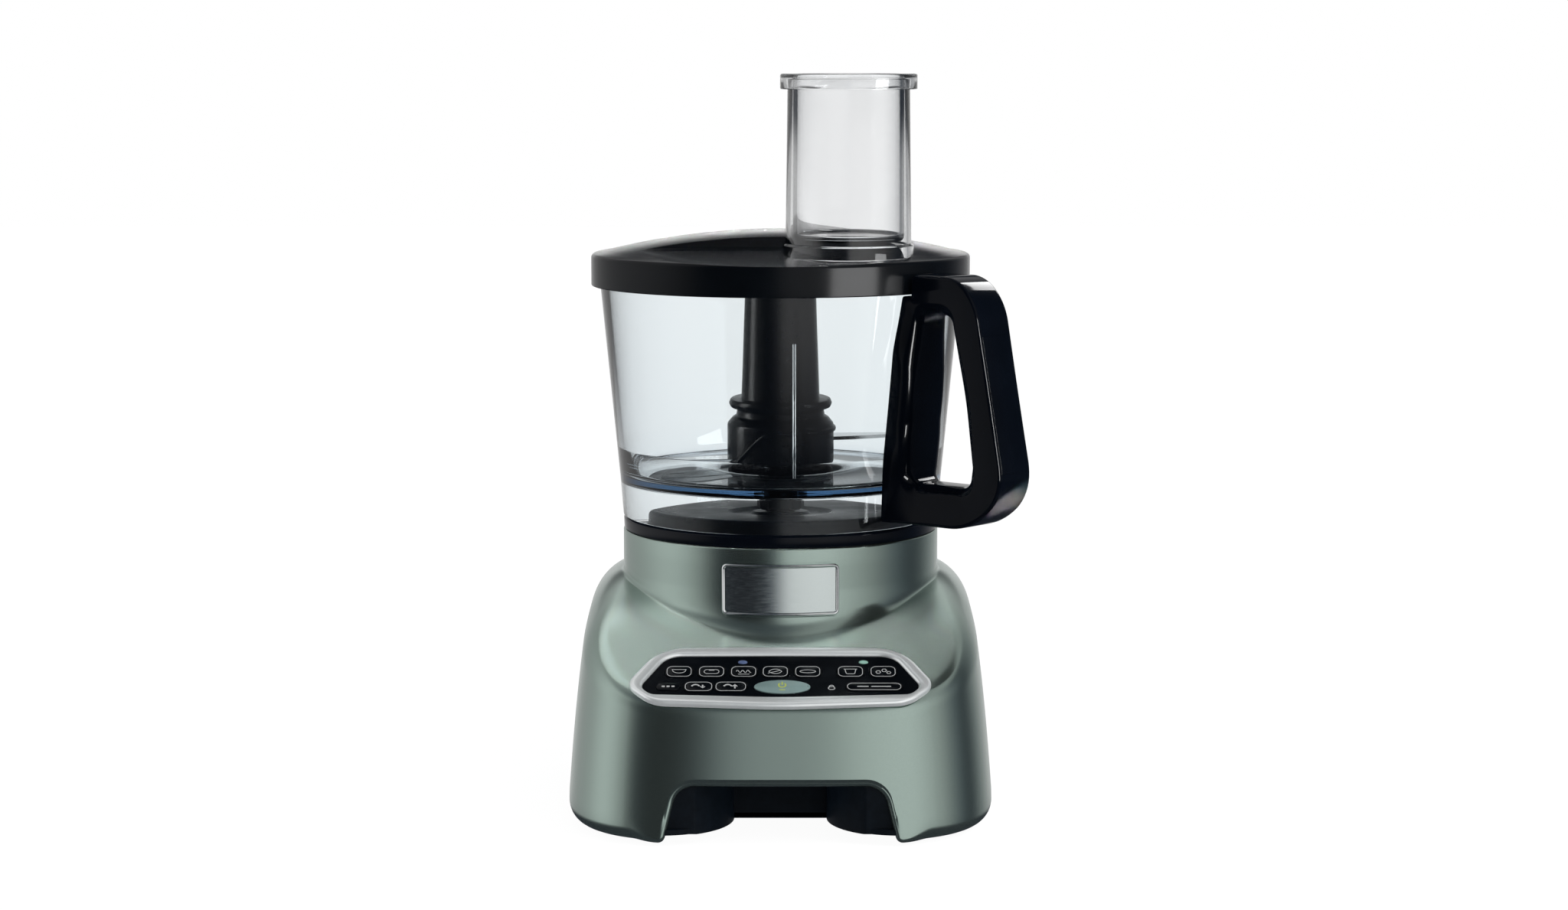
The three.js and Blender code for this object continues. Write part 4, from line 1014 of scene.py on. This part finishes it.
def handle_cover():
    """The glossy cover over the grip's outer face, from corner to corner, with its rounded edges."""
    angles = np.radians(np.linspace(-38, 52, 90))
    spots = ray_hits(corners(HANDLE_OUTER, 10), np.array(WINDOW_CENTRE), angles)
    rings = []
    half = GRIP_HALF - 1.6
    for k, spot in enumerate(spots):
        before, after = spots[max(0, k - 1)], spots[min(len(spots) - 1, k + 1)]
        way = (after - before) / np.linalg.norm(after - before)
        normal = np.array([way[1], -way[0]])
        shape = corners([(-0.6, -half, 0.2), (0.35, -half, 0.3), (0.35, half, 0.3), (-0.6, half, 0.2)], 3)
        at = spot[None, :] + normal[None, :] * shape[:, :1]
        rings.append(d_axis(at[:, 0], shape[:, 1], at[:, 1]))
    return skin(rings, cap=True)


make("handle_face", *handle_cover(), M["grip"], "bowl", ["handle_cover"], "black_gloss", 40)

# ---------- blade


def hub():
    """The blade hub: a drum at its foot, a flange, a tapering stem and a peg, with its socket inside."""
    profile = [
        (12.9, 183, 0.4), (28.8, 183, 1.6), (30.5, 185.4, 2.0), (30.5, 206, 2.6), (27.5, 209.4, 2),
        (25.4, 210.4, 1), (24.8, 214, 0.8), (28.6, 215.2, 1.2), (29.6, 217.3, 1.2), (28.6, 219.6, 0.9),
        (22.4, 219.7, 0.8), (20.2, 283, 3), (19.8, 294, 1), (16.5, 298, 0.8), (3, 298, 0.4),
        (3, 308, 0.8), (0, 308.5), (0, 285), (9.9, 285, 0.4), (9.9, 263, 0.4), (12.9, 263, 0.4),
    ]
    return turned(profile, 5, 112)


def helix_ridge():
    """The ridge that climbs the hub's foot and runs on as a flange over the blade's root."""
    climb = [(-152 + 54 * t, 185.2 + 18.2 * smooth(t), 2.6 - 0.5 * t) for t in np.linspace(0, 1, 36)]
    level = [(-98 + 175 * t, 203.4, 2.1 - 0.3 * t) for t in np.linspace(0, 1, 70)[1:]]
    a = full_turn(12)
    rings = []
    for azimuth, z, size in climb + level:
        rings.append(polar(29.9 + size * np.cos(a), math.radians(azimuth), z + size * 0.85 * np.sin(a)))
    return skin(rings, cap=True)


make("blade_hub_body", *hub(), M["hub"], "blade", ["blade_hub"], "black_matte", 40)
make("blade_hub_ridge", *helix_ridge(), M["hub"], "blade", [], "black_matte", 50)


def blade(z, azimuth):
    """A sickle blade with a ground bevel along its cutting edge."""
    near, tip, root = 24.0, 82.0, 9.5
    rings = []
    for t in np.linspace(0, 1, 40):
        x = near + (tip - near) * t
        sweep = 4 * t**2
        cut_y = -root * (1 - t**1.6) + sweep
        back_y = root * (1 - t**2.2) + sweep
        if back_y - cut_y < 0.5:
            back_y = cut_y + 0.5
        bevel = min(3.2, (back_y - cut_y) * 0.45)
        section = [
            (cut_y, 0.15), (cut_y, 0.35), (cut_y + bevel, 1.6), (back_y - 0.3, 1.6),
            (back_y, 1.3), (back_y, 0.2), (back_y - 0.3, 0), (cut_y + bevel * 0.6, 0),
        ]
        rings.append([(x, y, z + rise) for y, rise in section])
    return placed(skin(rings, cap=True), Matrix.Rotation(math.radians(azimuth), 4, "Z"))


make("blade_upper", *blade(197, 8), M["blade"], "blade", ["upper_blade"], "steel", 20)
make("blade_lower", *blade(186.2, 188), M["blade"], "blade", ["lower_blade"], "steel", 20)

# ---------- lid


def dome(r):
    """The height of the lid's dome at a radius."""
    return LID["dome"] - r**2 / (2 * LID["dome_radius"])


def deck_height(y):
    """The height of the lid's sloping front deck."""
    return DECK["height"] + DECK["fall"] * (y - DECK["back"])


def lid():
    """The lid: a shallow dome over a straight rim, its front cut down to a sloping deck."""
    radius = LID["radius"]
    profile = [(100.9, LID["bottom"], 0.4), (radius, LID["bottom"], 0.6), (radius, dome(radius - 2), 2.4)]
    arcs = corners(profile + [(90, dome(90), 0)], 6)[:-1]
    top = [(r, dome(r)) for r in np.linspace(100, 0, 40)]
    under = [(0, 296), (90, 296), (100.9, 295)]
    return spin(np.concatenate([arcs, top, under]), 200)


def deck_tool():
    """The space over the front deck, with a fillet along its back wall."""
    back = DECK["back"]
    line = [(-150, deck_height(-150), 0), (back, deck_height(back), 3.2)]
    flat = corners(line + [(back + 0.5, dome(0) + 12, 0), (-150, 340, 0)], 8)
    left = [(-150, y, z) for y, z in flat]
    right = [(150, y, z) for y, z in flat]
    return skin([left, right], cap=True)


def bore(radius, low, top, segments, centre=(0, 0)):
    """A round solid for cutting an upright hole."""
    return spin([(0, low), (radius, low), (radius, top), (0, top)], segments, centre)


def lid_piece():
    """The lid with its deck, the tube's hole and the spindle's hole cut, and every edge softened."""
    made = make("lid_cap", *lid(), M["lid"], "lid", ["lid"], "black_gloss", 30)
    tools = [deck_tool(), bore(TUBE["foot"] + 0.4, 285, 330, 96, AT_TUBE), bore(7.3, 280, 311, 48)]
    made = carve(made, tools, 28)
    soften = made.modifiers.new("soften", "BEVEL")
    soften.width = 0.0007
    soften.segments = 3
    soften.limit_method = "ANGLE"
    soften.angle_limit = math.radians(50)
    soften.use_clamp_overlap = True
    apply(made)
    clean(made.data, 35)


lid_piece()

# ---------- feed tube and pusher


def feed_tube():
    """The tube with a collar at its foot."""
    foot, mouth, wall, bottom, top = (TUBE[key] for key in ("foot", "mouth", "wall", "bottom", "top"))
    profile = [
        (foot - wall, bottom, 0.4), (foot, bottom, 0.5), (foot, 306, 0), (36.0, 306.4, 0.3),
        (36.0, 313.2, 0.7), (foot - 0.2, 313.6, 0.6), (mouth, top, 0.6), (mouth - wall, top, 0.6),
    ]
    return turned(profile, 4, 128, AT_TUBE)


make("feed_tube_shell", *feed_tube(), M["tube"], "lid", ["feed_tube"], "clear_plastic", 30)


def pusher():
    """A hollow cup with a rolled rim that hangs over the tube's mouth."""
    stem = TUBE["mouth"] - TUBE["wall"] - 0.5
    profile = [
        (0, 315), (stem, 315, 3), (stem, TUBE["top"] + 0.4, 0.3), (34.3, TUBE["top"] + 0.4, 0.2),
        (34.3, 398.2, 0.2), (37.6, 398.2, 0.6), (37.6, 406.6, 1.0), (stem - 2.2, 406.6, 0.9),
        (stem - 2.2, 317.6, 2), (0, 317.6),
    ]
    return turned(profile, 4, 128, AT_TUBE)


make("pusher_cup", *pusher(), M["tube"], "pusher", ["pusher"], "clear_plastic", 30)

# ---------- pieces that keep their CAD shape

FINISHES = {
    "steel": ["tray_screw_1", "tray_screw_2", "tray_screw_3", "tray_screw_4", "bearing_bridge", "spindle"],
    "alloy": ["lower_frame", "upper_frame", "stator", "motor_pulley"],
    "rubber": ["cord_gland", "drive_belt"],
    "board": ["control_board"],
    "bronze": ["upper_bearing", "lower_bearing", "bowl_bush", "lid_bush"],
    "copper": ["armature"],
    "satin": ["driven_pulley", "drive_dog", "motor_fan", "drive_shaft"],
    "chrome": ["interlock_rod"],
}
for finish, names in FINISHES.items():
    for name in names:
        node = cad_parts[name]
        node.data.materials.clear()
        node.data.materials.append(M[finish])

# ---------- room, light and camera

CAMERA = dict(at=(1.96, -1776, 415.2), tilt=7.25, lens=71.71875)
FLOOR = dict(half=6.0, glow=1.09, share=0.88)

# radiance by azimuth from the front, positive to the right: a soft box on each side, dark between
ROOM_WALLS = [
    (-180, 0.95), (-165, 0.6), (-150, 0.45), (-135, 0.52), (-120, 0.58), (-105, 0.78), (-90, 0.95),
    (-77, 0.86), (-66, 0.66), (-56, 0.36), (-48, 0.05), (-36, 0.01), (-20, 0.01), (-9, 0.02),
    (-3, 0.16), (2, 0.72), (7, 0.92), (16, 0.92), (32, 1.02), (44, 0.84), (56, 0.69), (70, 0.46),
    (82, 0.28), (94, 0.14), (106, 0.05), (120, 0.05), (136, 0.3), (150, 0.45), (165, 0.65), (180, 0.95),
]
ROOM_CEILING = [
    (-180, 0.72), (-140, 0.66), (-105, 0.5), (-80, 0.3), (-60, 0.06), (-12, 0.05), (6, 0.12), (30, 0.36),
    (56, 0.58), (90, 0.5), (140, 0.48), (165, 0.42), (180, 0.4),
]


def world_light():
    """A white room for what is seen and refracted; for gloss and diffuse, soft boxes and dark flags."""
    world = bpy.data.worlds.new("studio")
    bpy.context.scene.world = world
    world.use_nodes = True
    tree = world.node_tree
    tree.nodes.clear()
    coord = add_node(tree, "ShaderNodeTexCoord").outputs["Generated"]
    x, y, z = add_node(tree, "ShaderNodeSeparateXYZ", {0: coord}).outputs

    # azimuth from the front (-Y), positive to the right, in turns from 0 (behind left) to 1
    angle = calc(tree, "ARCTAN2", x, calc(tree, "MULTIPLY", y, -1.0))
    turn = calc(tree, "ADD", calc(tree, "DIVIDE", angle, 2 * math.pi), 0.5)

    def ramp(stops):
        """Radiance by azimuth in degrees; the dim parts of the room are bluer."""
        made = add_node(tree, "ShaderNodeValToRGB", {0: turn})
        made.color_ramp.interpolation = "B_SPLINE"
        elements = made.color_ramp.elements
        for degrees, _ in stops[1:-1]:
            elements.new(degrees / 360 + 0.5)
        for element, (_, value) in zip(elements, stops):
            blue = max(0.0, 0.35 - value)
            element.color = (value * (1 - 0.6 * blue), value, value * (1 + 0.9 * blue), 1)
        return made.outputs[0]

    def fade(value, start, end, first=0.0, last=1.0):
        inputs = {"Value": value, "From Min": start, "From Max": end, "To Min": first, "To Max": last}
        return add_node(tree, "ShaderNodeMapRange", inputs, interpolation_type="SMOOTHSTEP").outputs[0]

    room = blend(tree, fade(z, -0.3, -0.2), (0.03, 0.035, 0.045, 1), ramp(ROOM_WALLS))
    room = blend(tree, fade(z, 0.74, 0.9), room, ramp(ROOM_CEILING))
    level = calc(tree, "MULTIPLY", fade(z, 0.15, 0.21), fade(z, 0.42, 0.55, 1.0, 0.0))
    behind = calc(tree, "MULTIPLY", fade(y, 0.86, 0.96), level)
    room = blend(tree, behind, room, (0.03, 0.035, 0.04, 1))
    studio = add_node(tree, "ShaderNodeBackground", {"Color": room})
    white = add_node(tree, "ShaderNodeBackground", {"Color": (1, 1, 1, 1)})
    mix = mix_shaders(tree, seen_directly(tree)[0], studio, white)
    add_node(tree, "ShaderNodeOutputWorld", {"Surface": mix.outputs[0]})


def floor():
    """A pale floor, nearly white where it is seen; rays from a glossy bounce pass through it."""
    made = Paint("pale_floor", (0.86, 0.87, 0.87), 0.9)
    made.shade(made.noise(3, 2), 0.01)
    tree = made.tree
    seen, glossy = seen_directly(tree)
    glow = made.node("ShaderNodeEmission", {"Color": (1, 1, 1, 1), "Strength": FLOOR["glow"]})
    pale = mix_shaders(tree, calc(tree, "MULTIPLY", seen, FLOOR["share"]), made.shader, glow)
    gone = made.node("ShaderNodeBsdfTransparent")
    made.output(mix_shaders(tree, calc(tree, "GREATER_THAN", glossy, 0.5), pale, gone))
    mesh = bpy.data.meshes.new("floor")
    half = FLOOR["half"]
    square = [(x * half, y * half, 0) for x, y in ((-1, -1), (1, -1), (1, 1), (-1, 1))]
    mesh.from_pydata(square, [], [(0, 1, 2, 3)])
    mesh.materials.append(made.material)
    thing = linked("floor", mesh)
    thing.visible_glossy = False


def lamp(name, at, look, size, radiance, only=(), diffuse=False, glossy=True, shadow=True):
    """A soft box of an even radiance; only keeps its light to some pieces."""
    data = bpy.data.lights.new(name, "AREA")
    data.shape = "RECTANGLE"
    data.size, data.size_y = size
    data.energy = radiance * math.pi * size[0] * size[1]
    data.use_shadow = shadow
    data.cycles.use_multiple_importance_sampling = shadow
    thing = linked(name, data)
    at, look = Vector(to_world(at)[0]), Vector(to_world(look)[0])
    thing.location = at
    thing.rotation_mode = "QUATERNION"
    thing.rotation_quaternion = (look - at).to_track_quat("-Z", "Y")
    thing.visible_camera = False
    thing.visible_diffuse = diffuse
    thing.visible_glossy = glossy
    if only:
        lit = bpy.data.collections.new(name)
        for piece in only:
            lit.objects.link(bpy.data.objects[piece])
        thing.light_linking.receiver_collection = lit


def around(azimuth, elevation, distance, centre):
    """A place by azimuth from the front, positive to the right, and elevation, in degrees."""
    a, e = math.radians(azimuth), math.radians(elevation)
    way = np.array([math.sin(a) * math.cos(e), -math.cos(a) * math.cos(e), math.sin(e)])
    return np.array(centre) + way * distance


GRIP, LIP, CREST = (110, -100, 260), (41, -99, 295), (0, 0, 310)
STEM, SLOPE = (0, 0, 240), (0, -125, 100)
GRIP_SET, LID_SET, HUB_SET = ["handle", "handle_face"], ["lid_cap"], ["blade_hub_body", "blade_hub_ridge"]
# soft boxes: name, target, azimuth, elevation, distance, size, radiance, lit pieces, shadows
SOFT_BOXES = [
    ("grip_edge_light", GRIP, 22, 4, 1500, (0.35, 0.9), 90, GRIP_SET, True),
    ("grip_corner_light", GRIP, 142, 36, 900, (0.3, 0.24), 24, GRIP_SET, True),
    ("grip_foot_light", GRIP, 128, -38, 900, (0.5, 0.4), 9, GRIP_SET, False),
    ("lid_light", LIP, 45, -4, 900, (0.5, 0.4), 12, LID_SET, True),
    ("crest_light", CREST, 180, 6, 1500, (1.6, 0.16), 0.7, LID_SET, False),
    ("hub_light", STEM, -95, 14, 900, (0.3, 0.8), 6, HUB_SET, False),
    ("slope_light", SLOPE, -164, 57, 800, (0.5, 0.4), 0.72, ["casing"], False),
]


def lamps():
    """A key light, and small soft boxes that each light a few pieces."""
    lamp("key_light", (900, -500, 900), (0, 0, 200), (0.5, 0.9), 6, diffuse=True, glossy=False)
    for name, target, azimuth, elevation, distance, size, radiance, pieces, shadow in SOFT_BOXES:
        place = around(azimuth, elevation, distance, target)
        lamp(name, place, target, size, radiance, pieces, shadow=shadow)


def camera():
    data = bpy.data.cameras.new("camera")
    thing = linked("camera", data)
    data.sensor_width = 36
    data.lens = CAMERA["lens"]
    data.clip_start, data.clip_end = 0.05, 50
    thing.location = to_world(CAMERA["at"])[0]
    thing.rotation_euler = (math.radians(90 - CAMERA["tilt"]), 0, 0)
    bpy.context.scene.camera = thing


world_light()
floor()
lamps()
camera()
bpy.context.scene.view_settings.view_transform = "Standard"
